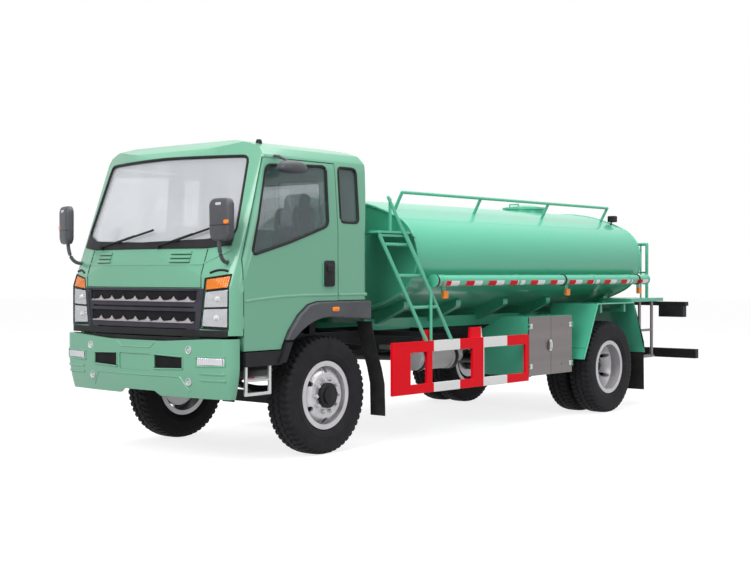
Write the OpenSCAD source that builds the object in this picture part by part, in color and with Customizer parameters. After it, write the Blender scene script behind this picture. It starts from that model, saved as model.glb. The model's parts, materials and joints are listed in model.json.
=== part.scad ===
// Water tanker truck, 4x2, cab over engine.
// Millimetres. X points forward, Y to the left, Z up; the ground is Z = 0.

/* [Overall] */
// Distance between the front and rear axles
wheelbase = 4500; // [4400:10:4700]
// From the front axle to the front of the bumper
front_overhang = 1250; // [1245:1:1270]
// From the rear axle to the back of the underrun bar
rear_overhang = 2250; // [2200:10:2400]
// Width over the rear tyres
overall_w = 2460; // [2440:2:2500]

/* [Wheels] */
// Outside diameter of a tyre
tyre_d = 1018; // [990:2:1030]
// Section width of a tyre
tyre_w = 259; // [250:1:264]
// Diameter over a rim flange
rim_d = 586; // [576:2:600]
// Spacing of the twin rear tyres
twin_pitch = 300; // [290:1:310]
// Outer face of a front tyre from the centre line
front_face = 1028; // [1020:1:1034]
// Wheel nuts on a hub
nut_count = 10; // [8:1:12]

/* [Frame] */
// Width over the frame rails
frame_w = 800; // [780:2:806]
// Height of a frame rail
frame_h = 220; // [200:2:230]
// Top of the frame above the ground
frame_top = 1000; // [996:1:1010]
// Thickness of the rail steel
frame_t = 10; // [8:1:14]

/* [Cab] */
// Width of the cab body
cab_w = 2080; // [2070:2:2084]
// Top of the roof above the ground
cab_top = 2710; // [2690:5:2760]
// Thickness of walls and doors
cab_wall = 50; // [45:1:54]
// Running gap around a door
door_gap = 8; // [7:0.5:9]
// Thickness of the glass
glass_t = 8; // [6:1:10]

/* [Tank] */
// Width of the tank shell
tank_w = 2180; // [2160:2:2186]
// Height of the tank shell
tank_h = 1120; // [1100:2:1130]
// Centre of the tank above the ground
tank_mid = 1710; // [1700:1:1720]
// Thickness of the tank plate
tank_t = 10; // [8:1:14]
// Clear opening of the manhole
manhole_d = 460; // [420:5:500]
// Diameter of the hose tube along each side
tube_d = 110; // [100:1:114]

/* [Side gear] */
// Length of the tool box
box_l = 860; // [820:5:880]
// Height of the tool box
box_h = 610; // [580:5:620]
// Depth of the tool box
box_d = 550; // [500:5:570]
// Outer face of the side guards from the centre line
guard_face = 1185; // [1180:1:1190]
// Diameter of a ladder tube
ladder_d = 34; // [30:1:38]

/* [Hidden] */
$fn = 48;

length = front_overhang + wheelbase + rear_overhang;
front_x = length / 2 - front_overhang;
rear_x = front_x - wheelbase;
axle_z = tyre_d / 2;
seat_gap = 0.3;
pin_gap = 0.05;

paint = [0.56, 0.78, 0.70];
black = [0.09, 0.09, 0.10];
steel = [0.72, 0.74, 0.75];
glass = [0.25, 0.32, 0.36];
lamp = [0.90, 0.88, 0.80];
red = [0.80, 0.10, 0.12];

// Wheels
front_y = front_face - tyre_w / 2;
twin_y = overall_w / 2 - tyre_w / 2 - twin_pitch / 2;
flange_r = rim_d / 2;
barrel_r = flange_r - 27;
bead_w = 95;
nut_pitch_r = 142.9;
axle_half = overall_w / 2 - 540;
spindle_f = 30;
spindle_r = 45;
kingpin_y = 760;
kingpin_r = 18;

// Frame
rail_y = frame_w / 2;
rail_bot = frame_top - frame_h;
rail_flange = 75;
rail_front = front_x + 1190;
rail_back = rear_x - 2000;
tilt_x = 1160;
tilt_z = frame_top - 60;
tilt_r = 20;

// Cab, x from the front axle; wide() and tall() carry its places with its width and height
arch_top = 1310;
function wide(y) = y * cab_w / 2080;
function tall(z) = z < arch_top ? z : arch_top + (z - arch_top) * (cab_top - arch_top) / 1400;
cab_front = 1215;
cab_rear = -540;
cab_low = 1055;
cab_rear_low = 1320;
bow_r = 6500 * pow(cab_w / 2080, 2);
corner_r = 130;
screen_base = [1185, tall(1760)];
screen_run = 262;
screen_lean = atan(screen_run / (tall(2480) - screen_base[1]));
screen_bow = 3100 * pow(cab_w / 2080, 2);
screen_corner = 110;
rear_round = 250;
belt_z = tall(1900);
crown = 100;
floor_top = 1345;
floor_t = 35;
foot_z = 1060;

// Doors, x from the front axle
door_front = 1005;
door_back = -115;
door_low = 930;
door_top = cab_top - 220;
hinge_x = door_front + 6;
hinge_r = 5;
hinge_z = [1110, tall(1400)];
flare_out = cab_w / 2 + 35;

// Tank
tank_front = front_x - 1172;
tank_back = rear_x - 947;
tank_a = tank_w / 2;
tank_b = tank_h / 2;
tank_r = 400;
head_in = 25;
manhole_x = rear_x - 130;
neck_t = 10;
neck_top = tank_mid + tank_b + 40;
tube_y = 1150;
tube_z = 1480;
tube_r = tube_d / 2;

// Side gear
box_back = rear_x + 737;
box_front = box_back + box_l;
box_low = 496;
box_face = 1165;
leaf_t = 10;
guard_front = front_x - 689;
guard_back = box_front + 6;
guard_t = 30;
guard_top = 930;
guard_low = 455;
ladder_r = ladder_d / 2;
ladder_y = guard_face - 11;

// Rear
deck_z = 1220;
deck_t = 40;
deck_back = rear_x - 1340;
bar_back = -length / 2;

function arc(c, r, a0, a1, n) = [
  for (i = [0:n]) let (a = a0 + (a1 - a0) * i / n) [c[0] + r * cos(a), c[1] + r * sin(a)]
];
function mir(p) = [for (q = p) [q[0], -q[1]]];
function tail(p) = [for (i = [1:len(p) - 1]) p[i]];
function back(p) = [for (i = [len(p) - 1:-1:0]) p[i]];
function unit(v) = v / norm(v);

// A closed outline with each corner eased over the length r
function eased(p, r, n = 4) = [
  for (i = [0:len(p) - 1])
    let (v = p[i], a = p[(i + len(p) - 1) % len(p)], b = p[(i + 1) % len(p)])
    let (d = min(r, norm(a - v) / 2.01, norm(b - v) / 2.01))
    let (s = v + unit(a - v) * d, e = v + unit(b - v) * d)
    for (k = [0:n]) let (u = k / n) (1 - u) * (1 - u) * s + 2 * u * (1 - u) * v + u * u * e
];

// Half of a bowed front seen from above, from the middle to the side, set in by t
function plan_half(xf, hw, br, cr, t) =
  let (a = asin((hw - cr) / (br - cr)), cx = xf - br + (br - cr) * cos(a))
  concat(
    [for (i = [0:5]) let (b = a * i / 5) [xf - br + (br - t) * cos(b), (br - t) * sin(b)]],
    [for (i = [1:6]) let (b = a + (90 - a) * i / 6) [cx + (cr - t) * cos(b), hw - cr + (cr - t) * sin(b)]]
  );

// Half of the four-arc oval of the tank, set in by t, as [y, z] about its centre
function oval(t) =
  let (a = tank_a - tank_r, h = tank_b - tank_r, br = (a * a + h * h) / (2 * h))
  let (cz = h - br, ang = atan2(a, br - h))
  concat(
    arc([a, 0], tank_r - t, 0, 90 - ang, 7),
    [for (i = [1:11]) let (b = 90 - ang + 2 * ang * i / 12) [
      (br + tank_r - t) * cos(b), cz + (br + tank_r - t) * sin(b)]],
    arc([-a, 0], tank_r - t, 90 + ang, 180, 7),
    arc([-a, 0], tank_r - t, 180, 270 - ang, 7),
    [for (i = [1:11]) let (b = 270 - ang + 2 * ang * i / 12) [
      (br + tank_r - t) * cos(b), -cz + (br + tank_r - t) * sin(b)]],
    arc([a, 0], tank_r - t, 270 + ang, 360, 7)
  );

module at_front() { translate([front_x, 0, 0]) children(); }
module at_rear() { translate([rear_x, 0, 0]) children(); }
module both() {
  children();
  mirror([0, 1, 0]) children();
}
module box(a, b) { translate(a) cube(b - a); }
module along_y(p, y0, y1) { translate([0, y1, 0]) rotate([90, 0, 0]) linear_extrude(y1 - y0) polygon(p); }
module along_x(p, x0, x1) { translate([x0, 0, 0]) rotate([90, 0, 90]) linear_extrude(x1 - x0) polygon(p); }
module along_z(p, z0, z1) { translate([0, 0, z0]) linear_extrude(z1 - z0) polygon(p); }
module about_y(y = 0) { translate([0, y, 0]) rotate([-90, 0, 0]) children(); }
module pin_y(p, r, l) { translate(p) rotate([-90, 0, 0]) cylinder(r = r, h = l); }
module rod(p, q, r) {
  d = q - p;
  translate(p) rotate([0, acos(d[2] / norm(d)), atan2(d[1], d[0])]) rotate(52) cylinder(r = r, h = norm(d), $fn = 24);
}
// A bent tube: straight runs with a slightly fuller ball at each bend
module bent(pts, r) {
  for (i = [0:len(pts) - 2]) rod(pts[i], pts[i + 1], r);
  for (i = [1:len(pts) - 2]) let (d = pts[i + 1] - pts[i])
    translate(pts[i]) rotate(atan2(d[1], d[0])) sphere(r = r * 1.03, $fn = 24);
}

// Frame

module rail() {
  translate([rail_back, rail_y - rail_flange, rail_bot]) difference() {
    cube([rail_front - rail_back, rail_flange, frame_h]);
    translate([-1, -1, frame_t])
      cube([rail_front - rail_back + 2, rail_flange - frame_t + 1, frame_h - 2 * frame_t]);
  }
}
module frame() {
  // cross members: x, low z, height
  members = [
    [front_x + 900, rail_bot + 5, 90], [front_x - 1330, rail_bot + 70, 140], [front_x - 2200, rail_bot + 70, 140],
    [rear_x + 900, rail_bot + 70, 140], [rear_x - 700, rail_bot + 40, 160], [rear_x - 1350, rail_bot + 40, 160],
    [rail_back + 50, rail_bot + 20, 180]
  ];
  color(black) {
    both() rail();
    for (m = members)
      box([m[0] - 40, -rail_y + frame_t / 2, m[1]], [m[0] + 40, rail_y - frame_t / 2, m[1] + m[2]]);
    // pivot pins of the tilting cab
    at_front() both() {
      pin_y([tilt_x, rail_y - 5, tilt_z], 28, 15);
      pin_y([tilt_x, rail_y - 5, tilt_z], tilt_r, 70);
    }
    // rear support of the cab
    at_front() {
      both() box([-530, rail_y - rail_flange, frame_top - 5], [-450, rail_y, 1290]);
      box([-530, -rail_y, 1235], [-450, rail_y, 1290]);
      both() translate([-490, 330, 1285]) cylinder(r = 35, h = floor_top - floor_t - 6 - 1285);
    }
    // towing jaw under the last cross member
    translate([rail_back - 60, 0, 0]) difference() {
      union() {
        box([-60, -70, rail_bot + 60], [90, 70, rail_bot + 90]);
        box([-60, -70, rail_bot + 150], [90, 70, rail_bot + 180]);
        box([60, -90, rail_bot + 40], [80, 90, rail_bot + 195]);
      }
      translate([-20, 0, rail_bot]) cylinder(r = 20, h = frame_h);
    }
  }
}

shaft_a = [front_x - 1150, 0, 770];
shaft_b = [rear_x, 0, axle_z + 30];
shaft_dir = unit(shaft_b - shaft_a);

module engine() {
  color(black) {
    at_front() {
      along_x(eased([[-300, 700], [-180, 620], [180, 620], [300, 700], [300, 1130], [200, 1230],
        [-200, 1230], [-300, 1130]], 30, 2), -400, 480);
      box([470, -250, 760], [565, 250, 1000]);
      box([560, -315, 700], [640, 315, 1025]);
      along_x(eased([[-210, 660], [210, 660], [210, 900], [120, 960], [-120, 960], [-210, 900]], 30, 2), -1000, -390);
      along_x(eased([[-140, 690], [140, 690], [140, 860], [-140, 860]], 30, 2), -1110, -990);
    }
    rod(shaft_a - shaft_dir * 120, shaft_a, 70);
  }
}
module prop_shaft() {
  p = shaft_a;
  q = shaft_b - shaft_dir * (330 + seat_gap);
  color(steel) {
    rod(p, p + shaft_dir * 40, 70);
    rod(p + shaft_dir * 38, q - shaft_dir * 38, 50);
    rod(q - shaft_dir * 40, q, 70);
  }
}

module front_axle() {
  beam = [[-700, 470], [-620, 470], [-520, 400], [520, 400], [620, 470], [700, 470],
    [700, 548], [600, 548], [500, 495], [-500, 495], [-600, 548], [-700, 548]];
  color(black) at_front() difference() {
    union() {
      along_x(beam, -45, 45);
      both() translate([0, kingpin_y, 462]) cylinder(r = 48, h = 94);
      both() box([-45, 690, 470], [45, kingpin_y, 548]);
    }
    both() translate([0, kingpin_y, 400]) cylinder(r = kingpin_r + pin_gap, h = 300);
  }
}
module knuckle() {
  pin_z0 = 410;
  color(black) at_front() {
    translate([0, kingpin_y, pin_z0]) cylinder(r = kingpin_r, h = 200);
    translate([0, kingpin_y, pin_z0]) cylinder(r = 52, h = 40);
    translate([0, kingpin_y, 570]) cylinder(r = 52, h = 40);
    box([-52, kingpin_y, pin_z0], [52, kingpin_y + 90, 450]);
    box([-52, kingpin_y, 570], [52, kingpin_y + 90, 610]);
    box([-52, kingpin_y + 60, pin_z0], [52, kingpin_y + 90, 610]);
    pin_y([0, kingpin_y + 85, axle_z], 75, 8);
    pin_y([0, kingpin_y + 85, axle_z], spindle_f, 110);
    // arm to the tie rod
    box([-tie_x - 20, kingpin_y - 25, 415], [0, kingpin_y + 22, 435]);
    translate([-tie_x, kingpin_y, 372]) cylinder(r = 10, h = 50);
  }
}
tie_x = 185;
module tie_rod() {
  z0 = 375;
  color(black) at_front() difference() {
    union() {
      pin_y([-tie_x, -kingpin_y + 20, z0 + 17], 15, 2 * kingpin_y - 40);
      for (s = [-1, 1]) translate([-tie_x, s * kingpin_y, z0]) cylinder(r = 24, h = 34);
    }
    translate([-tie_x, kingpin_y, z0 - 1]) cylinder(r = 10 + pin_gap, h = 40);
    translate([-tie_x, -kingpin_y, z0 - 1]) cylinder(r = 15, h = 40);
  }
}
module rear_axle() {
  color(black) at_rear() {
    pin_y([0, -axle_half, axle_z], rear_tube, 2 * axle_half);
    translate([-150, 0, axle_z]) rotate([0, 90, 0]) cylinder(r = 195, h = 250);
    translate([-150, 0, axle_z]) rotate([0, -90, 0]) cylinder(r1 = 195, r2 = 120, h = 60);
    both() pin_y([0, axle_half - 20, axle_z], 120, 25);
    both() pin_y([0, axle_half, axle_z], spindle_r, 250);
    translate([-rear_x, 0, 0]) rod(shaft_b, shaft_b - shaft_dir * 330, 75);
  }
}

// A spring pack: leaves of even thickness, each shorter than the one above it
module spring(half, n, z_seat, z_eye) {
  w = 76;
  t = 16;
  lift = z_eye - z_seat - (n - 1) * t;
  y0 = rail_y - w;
  top = [for (i = [-10:10]) let (x = half * i / 10) [x, z_seat + n * t + lift * pow(x / half, 2)]];
  under = [for (k = [1:n]) let (x = half * (1 - 0.7 * (k - 1) / n), z = z_seat + n * t + lift * pow(x / half, 2))
    each [[x, z - (k - 1) * t], [x, z - k * t]]];
  along_y(concat(top, tail(under), [[0, z_seat]], [for (p = back(tail(under))) [-p[0], p[1]]]), y0, rail_y);
  for (s = [-1, 1]) {
    pin_y([s * half, y0, z_eye + t / 2], 26, w);
    along_y([[s * half - 32, z_eye - 12], [s * half + 32, z_eye - 12], [s * half + 60, rail_bot],
      [s * half - 60, rail_bot]], y0, rail_y);
  }
}
module leaf_springs() {
  seat = 100;
  color(black) both() {
    at_front() spring(640, 4, 495, 690);
    at_rear() {
      difference() {
        box([-60, rail_y - 76, axle_z + 40], [60, rail_y, axle_z + seat + 6]);
        pin_y([0, 200, axle_z], rear_tube + seat_gap, 300);
      }
      spring(640, 6, axle_z + seat, 715);
    }
  }
}
rear_tube = 68;

// Wheels, made about the origin with +Y outward

function mirror_v(p) = concat(p, [for (i = [len(p) - 1:-1:0]) [p[i][0], -p[i][1]]]);
module tyre() {
  r = tyre_d / 2;
  h = tyre_w / 2;
  prof = mirror_v([
    [barrel_r + seat_gap, bead_w], [flange_r + 4, bead_w + 1], [flange_r + 16, h - 18], [flange_r + 60, h - 4],
    [r - 105, h], [r - 60, h - 3], [r - 28, h - 11], [r - 10, h - 24], [r - 2, h - 50], [r, h - 90]
  ]);
  rotate([-90, 0, 0]) rotate_extrude($fn = 72) polygon(prof);
}
// Rim barrel with its two flanges
module barrel() {
  prof = mirror_v([
    [barrel_r - 16, bead_w + 12], [flange_r, bead_w + 12], [flange_r, bead_w + 2], [flange_r - 8, bead_w + 1.2],
    [barrel_r, bead_w + seat_gap]
  ]);
  rotate([-90, 0, 0]) rotate_extrude($fn = 72) polygon(prof);
}
// Pressed disc from the barrel at y0 to the bolting face at y1, with hand holes
module disc(y0, y1) {
  s = sign(y1 - y0);
  t = 12 * s;
  ro = barrel_r - 10;
  difference() {
    rotate([-90, 0, 0]) rotate_extrude($fn = 72) polygon([
      [40, y1], [185, y1], [200, y1 - 6 * s], [228, (y0 + y1) / 2], [ro, y0 + t], [ro, y0 - t],
      [ro - 16, y0 - t], [214, (y0 + y1) / 2 - t], [190, y1 - t - 6 * s], [183, y1 - t], [40, y1 - t]
    ]);
    for (i = [0:5]) rotate([0, i * 60 + 30, 0]) pin_y([214, min(y0, y1) - 60, 0], 24, abs(y1 - y0) + 120);
  }
}
module nuts(y) {
  for (i = [0:nut_count - 1])
    rotate([0, 360 * i / nut_count, 0]) {
      about_y(y - 2) translate([nut_pitch_r, 0, 0]) cylinder(r = 19, h = 26, $fn = 6);
      about_y(y - 2) translate([nut_pitch_r, 0, 0]) cylinder(r = 11, h = 36);
    }
}
module rim_front() {
  face = 112;
  difference() {
    union() {
      barrel();
      disc(40, face);
      nuts(face);
      pin_y([0, -42, 0], 205, 50);
      pin_y([0, -42, 0], 120, face + 32);
      pin_y([0, face - 20, 0], 95, 52);
      pin_y([0, face + 20, 0], 70, 32);
    }
    pin_y([0, -60, 0], spindle_f + pin_gap, 120);
  }
}
module rims_rear() {
  difference() {
    union() {
      for (s = [-1, 1]) {
        translate([0, s * twin_pitch / 2, 0]) barrel();
        disc(s * (twin_pitch / 2 - 22), s * 12);
      }
      pin_y([0, -13, 0], 185, 26);
      nuts(12);
      pin_y([0, -235, 0], 205, 190);
      pin_y([0, -235, 0], 120, 320);
      pin_y([0, 80, 0], 100, 22);
      pin_y([0, 98, 0], 62, 20);
    }
    pin_y([0, -240, 0], spindle_r + pin_gap, 245);
  }
}
module tyres_rear() {
  for (s = [-1, 1]) translate([0, s * twin_pitch / 2, 0]) tyre();
}
module front_place() { translate([front_x, front_y, axle_z]) children(); }
module rear_place() { translate([rear_x, twin_y, axle_z]) children(); }

// Bumper

bumper_t = 30;
bumper_hw = cab_w / 2 + 5;
bumper_corner = 110;
bumper_top = cab_low - 55;
bumper_end = plan_half(front_overhang, bumper_hw, bow_r, bumper_corner, 0)[11][0] - 11;
module front_bumper() {
  xf = front_overhang;
  outer = plan_half(xf, bumper_hw, bow_r, bumper_corner, 0);
  inner = plan_half(xf, bumper_hw, bow_r, bumper_corner, bumper_t);
  ring = concat(back(mir(tail(outer))), outer, [[bumper_end, bumper_hw], [bumper_end, bumper_hw - bumper_t]],
    back(inner), tail(mir(inner)), [[bumper_end, -bumper_hw + bumper_t], [bumper_end, -bumper_hw]]);
  half = [[0, 585], [200, 585], [260, 548], [1200, 548], [1200, bumper_top + 32], [800, bumper_top + 26],
    [330, bumper_top], [0, bumper_top]];
  face = concat(half, [for (i = [len(half) - 2:-1:1]) [-half[i][0], half[i][1]]]);
  color(paint) at_front() {
    difference() {
      intersection() {
        along_z(ring, 500, 1100);
        along_x(face, 1000, 1300);
      }
      both() along_x(eased(fit([[235, 770], [560, 780], [560, 880], [235, 890]]), 20), 1000, 1300);
      both() along_x(eased(fit([[705, 812], [985, 822], [985, 884], [705, 876]]), 20), xf - 120, 1300);
      along_x(eased([[-205, 750], [205, 750], [205, 888], [-205, 888]], 15), xf - 12, 1300);
    }
    both() box([rail_front - front_x, rail_y - rail_flange, 660], [xf - bumper_t, rail_y - 5, 920]);
  }
}
module chassis_lamps() {
  xf = front_overhang;
  outer = plan_half(xf, bumper_hw, bow_r, bumper_corner, 6);
  inner = plan_half(xf, bumper_hw, bow_r, bumper_corner, bumper_t);
  ring = concat(outer, back(inner));
  color(lamp) {
    // fog lamps in the bumper
    at_front() both() intersection() {
      along_z(ring, 700, 950);
      along_x(eased(fit([[705, 812], [985, 822], [985, 884], [705, 876]]), 20), xf - 120, 1300);
    }
    // side markers under the hose tubes
    both() for (x = marker_x) box([x - 35, marker_y, marker_z - 35], [x + 35, marker_y + 24, marker_z + 35]);
    // rear lamps under their bar
    both() box([lamp_bar_x - 45, 840, 1012], [lamp_bar_x + 45, 1170, lamp_bar_z]);
  }
}
marker_x = [front_x - 1510, rear_x + 800, rear_x - 800];
marker_y = tube_y - 10;
marker_z = 1350;
lamp_bar_x = rail_back + 70;
lamp_bar_z = 1150;

// Tank

module tank_form(t, x0, x1) {
  translate([0, 0, tank_mid]) along_x(oval(t), x0, x1);
}
module tank() {
  z_top = tank_mid + tank_b;
  color(paint) difference() {
    union() {
      tank_form(0, tank_back, tank_front);
      translate([manhole_x, 0, z_top - 30]) cylinder(r = manhole_d / 2 + neck_t, h = neck_top - z_top + 30);
      translate([manhole_x, 0, neck_top - 12]) cylinder(r = manhole_d / 2 + neck_t + 20, h = 12);
      for (s = [-1, 1]) box([lid_hinge_x - 14, s * 86 - 8, z_top - 15], [lid_hinge_x + 14, s * 86 + 8, lid_hinge_z + 14]);
    }
    tank_form(tank_t, tank_back + head_in + tank_t, tank_front - head_in - tank_t);
    tank_form(tank_t, tank_back - 5, tank_back + head_in);
    tank_form(tank_t, tank_front - head_in, tank_front + 5);
    translate([manhole_x, 0, z_top - 100]) cylinder(r = manhole_d / 2, h = 200);
    pin_y([lid_hinge_x, -120, lid_hinge_z], 10 + pin_gap, 240);
    translate([tank_back, 0, outlet_z]) rotate([0, 90, 0]) cylinder(r = outlet_r, h = 100);
  }
}
outlet_z = tank_mid - tank_b + 210;
outlet_r = 40;
lid_hinge_x = manhole_x - manhole_d / 2 - 60;
lid_hinge_z = neck_top + 12;
module manhole_lid() {
  r = manhole_d / 2 + neck_t + 20;
  color(paint) {
    translate([manhole_x, 0, neck_top + seat_gap]) cylinder(r = r, h = 12);
    translate([manhole_x, 0, neck_top + 12]) cylinder(r1 = r - 30, r2 = r - 120, h = 24);
    for (s = [-1, 1]) box([lid_hinge_x, s * 60 - 12, lid_hinge_z - 8], [manhole_x - r + 40, s * 60 + 12, lid_hinge_z + 8]);
    pin_y([lid_hinge_x, -94, lid_hinge_z], 10, 188);
    rod([manhole_x + r - 40, -60, neck_top + 45], [manhole_x + r - 40, 60, neck_top + 45], 8);
    for (s = [-1, 1]) rod([manhole_x + r - 40, s * 60, neck_top + 8], [manhole_x + r - 40, s * 60, neck_top + 50], 8);
  }
}
module tank_bearers() {
  x0 = tank_back + 250;
  x1 = tank_front - 250;
  x2 = rear_x + 560;
  saddles = [x0, x2, x2 + (x1 - x2) / 3, x2 + (x1 - x2) * 2 / 3, x1];
  color(paint) difference() {
    union() {
      both() box([x0 - 200, rail_y - rail_flange, frame_top], [x1 + 200, rail_y, 1110]);
      for (x = saddles)
        along_x(eased([[-760, 1290], [-760, 1220], [-420, 1060], [420, 1060], [760, 1220], [760, 1290]], 20, 2),
          x - 40, x + 40);
    }
    tank_form(-seat_gap, tank_back - 10, tank_front + 10);
  }
}
module side_tubes() {
  x0 = tank_back - 10;
  x1 = front_x - 1320;
  strap = [front_x - 1440, front_x - 2700, rear_x + 300, rear_x - 500];
  color(paint) both() {
    translate([x0, tube_y, tube_z]) rotate([0, 90, 0]) cylinder(r = tube_r, h = x1 - x0);
    for (x = [x0, x1 - 40]) translate([x, tube_y, tube_z]) rotate([0, 90, 0]) cylinder(r = tube_r + 5, h = 40);
    difference() {
      for (x = strap) {
        box([x - 15, 960, tube_z - 30], [x + 15, tube_y, tube_z + 30]);
        translate([x - 20, tube_y, tube_z]) rotate([0, 90, 0]) cylinder(r = tube_r + 4, h = 40);
      }
      tank_form(-seat_gap, tank_back - 50, tank_front + 50);
    }
    for (x = marker_x) box([x - 30, marker_y - 12, marker_z - 30], [x + 30, marker_y, tube_z - tube_r + 20]);
  }
}
module top_rails() {
  y = 700;
  z = tank_mid + tank_b + 55;
  x0 = tank_back + 100;
  x1 = front_x - 1430;
  color(paint) difference() {
    both() {
      rod([x0, y, z], [x1, y, z], 16);
      for (i = [0:3]) let (x = x0 + (x1 - x0) * i / 3) {
        rod([x, y, z], [x, y - 115, tank_mid + tank_b - 150], 16);
        translate([x, y, z]) sphere(r = 16.5, $fn = 24);
      }
    }
    tank_form(-seat_gap, tank_back - 50, tank_front + 50);
  }
}

// Ladder on the left, from the guard up to a step in front of the tank

module ladder() {
  foot = [[-1190, ladder_y, guard_top], [-1575, ladder_y, guard_top]];
  lean = [0.60, -0.085, 1];
  h = 960;
  step_z = 1930;
  color(paint) at_front() difference() {
    union() {
      for (f = foot) rod(f - lean * 30, f + lean * h, ladder_r);
      for (k = [310, 600, 880])
        rod(foot[0] + lean * k, foot[1] + lean * k, ladder_r * 0.9);
      bent([[-1262, ladder_y - 2, guard_top - 20], [-1260, ladder_y, 1370], [-740, 1090, 2230], [-1000, 900, 2230],
        [-1000, 900, step_z - 5]], ladder_r * 0.85);
      along_z(eased([[-580, 1115], [-580, 500], [-1172 - head_in, 500], [-1172 - head_in, 960],
        [-1030, 1115]], 30, 2), step_z - 20, step_z);
      rod(foot[0] + lean * h, foot[1] + lean * h, ladder_r * 0.9);
      for (f = foot) rod(f + lean * (h - 12), [f[0] + lean[0] * h, f[1] + lean[1] * h, step_z - 5], ladder_r * 0.85);
    }
    box([-2000, 1000, 800], [-1000, 1300, guard_top]);
  }
}

// Side guards, boxes and tanks

module guard_panel() {
  y0 = guard_face - guard_t;
  post = [[front_x - 1164, front_x - 1302], [front_x - 1885, front_x - 2136]];
  box([guard_back, y0, guard_top - 100], [guard_front, guard_face, guard_top]);
  box([guard_back, y0, guard_low], [guard_front, guard_face, guard_low + 85]);
  box([guard_front - 259, y0, guard_low], [guard_front, guard_face, guard_top]);
  box([guard_back, y0, guard_low], [guard_back + 60, guard_face, guard_top]);
  for (p = post) {
    box([p[1] + 30, y0, guard_low], [p[0] - 30, guard_face, guard_top]);
    along_y([[p[1] + 20, guard_top - 20], [p[0] - 20, guard_top - 20], [p[0] - 40, 1030], [p[1] + 40, 1030]],
      y0 - 30, y0);
    box([p[0] - 85, rail_y, 960], [p[0] - 45, y0 - 10, 1010]);
  }
}
module side_guards() { color(red) both() guard_panel(); }

// Section of the tool box, its inner top corner cut back
function box_pts(t) =
  let (y0 = box_face - box_d + t, y1 = box_face - t, z0 = box_low + t, z1 = box_low + box_h - t)
  [[y0, z0], [y1, z0], [y1, z1], [box_face - 300, z1], [y0, z1 - 130]];
module tool_box() {
  t = 6;
  y0 = box_face - box_d;
  color(paint) {
    difference() {
      along_x(box_pts(0), box_back, box_front);
      along_x(box_pts(t), box_back + t, box_front - t);
      box([box_back + t, box_face - 2 * t, box_low + t], [box_front - t, box_face + t, box_low + box_h - t]);
    }
    for (x = [box_back + 120, box_front - 180])
      box([x, rail_y, 900], [x + 60, y0 + t / 2, 960]);
    for (x = [box_back + leaf_hinge, box_front - leaf_hinge], z = [box_low + 70, box_low + box_h - 130])
      translate([x, box_face + leaf_t + 7, z]) leaf_knuckle(-11.5);
  }
}
leaf_hinge = 12;
leaf_gap = 3;
// Fixed half of a leaf hinge, above and below the moving barrel
module leaf_knuckle(y) {
  for (z = [0, 41]) {
    translate([0, 0, z]) cylinder(r = 7, h = 19);
    box([-7, y - leaf_t + 3, z], [7, 0, z + 19]);
  }
}
module box_leaf(x0, x1, hinge) {
  y0 = box_face + leaf_gap - 2.5;
  color(steel) {
    difference() {
      box([x0, y0, box_low + 4], [x1, y0 + leaf_t, box_low + box_h - 4]);
      for (z = [box_low + 70, box_low + box_h - 130])
        box([hinge - 12, y0 - 1, z - 5], [hinge + 12, y0 + leaf_t + 1, z + 65]);
    }
    for (z = [box_low + 70, box_low + box_h - 130]) {
      translate([hinge, box_face + leaf_t + 7, z + 20]) cylinder(r = 7, h = 20);
      box([min(hinge, (x0 + x1) / 2), y0 + leaf_t - 4, z + 22], [max(hinge, (x0 + x1) / 2), y0 + leaf_t + 4, z + 38]);
    }
  }
}
box_mid = (box_front + box_back) / 2;
module box_leaf_front() {
  box_leaf(box_mid + 3, box_front - leaf_hinge, box_front - leaf_hinge);
  color(steel) box([box_mid + 8, box_face + leaf_t, box_low + box_h / 2 - 40], [box_mid + 60, box_face + leaf_t + 18, box_low + box_h / 2 + 40]);
}
module box_leaf_rear() { box_leaf(box_back + leaf_hinge, box_mid - 3, box_back + leaf_hinge); }

module air_cleaner() {
  r = 115;
  y = 850;
  z = 745;
  x0 = front_x - 1980;
  x1 = front_x - 1380;
  color(steel) {
    translate([x0, y, z]) rotate([0, 90, 0]) cylinder(r = r, h = x1 - x0);
    for (x = [x0 + 60, x1 - 100]) translate([x, y, z]) rotate([0, 90, 0]) cylinder(r = r + 8, h = 40);
    translate([x0 - 50, y, z]) rotate([0, 90, 0]) cylinder(r1 = 60, r2 = 90, h = 51);
    bent([[x0 - 40, y, z], [x0 - 130, y, z], [x0 - 130, y - 200, z + 20]], 58);
    for (x = [x0 + 60, x1 - 100]) box([x, rail_y, z + 70], [x + 40, y - 20, z + 110]);
  }
}
module fuel_tank() {
  x0 = front_x - 2050;
  x1 = front_x - 1050;
  y0 = -1090;
  y1 = -560;
  color(steel) {
    along_x(eased([[y0, 500], [y1, 500], [y1, 940], [y0, 940]], 90, 4), x0, x1);
    for (x = [x0 + 140, x1 - 200]) {
      along_x(eased([[y0 - 8, 492], [y1 + 8, 492], [y1 + 8, 948], [y0 - 8, 948]], 96, 4), x, x + 60);
      box([x, y1 - 20, 800], [x + 60, -rail_y, 880]);
    }
    translate([x1 - 330, y0 + 130, 930]) cylinder(r = 55, h = 45);
  }
}

// Wings, platform and rear end

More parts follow.
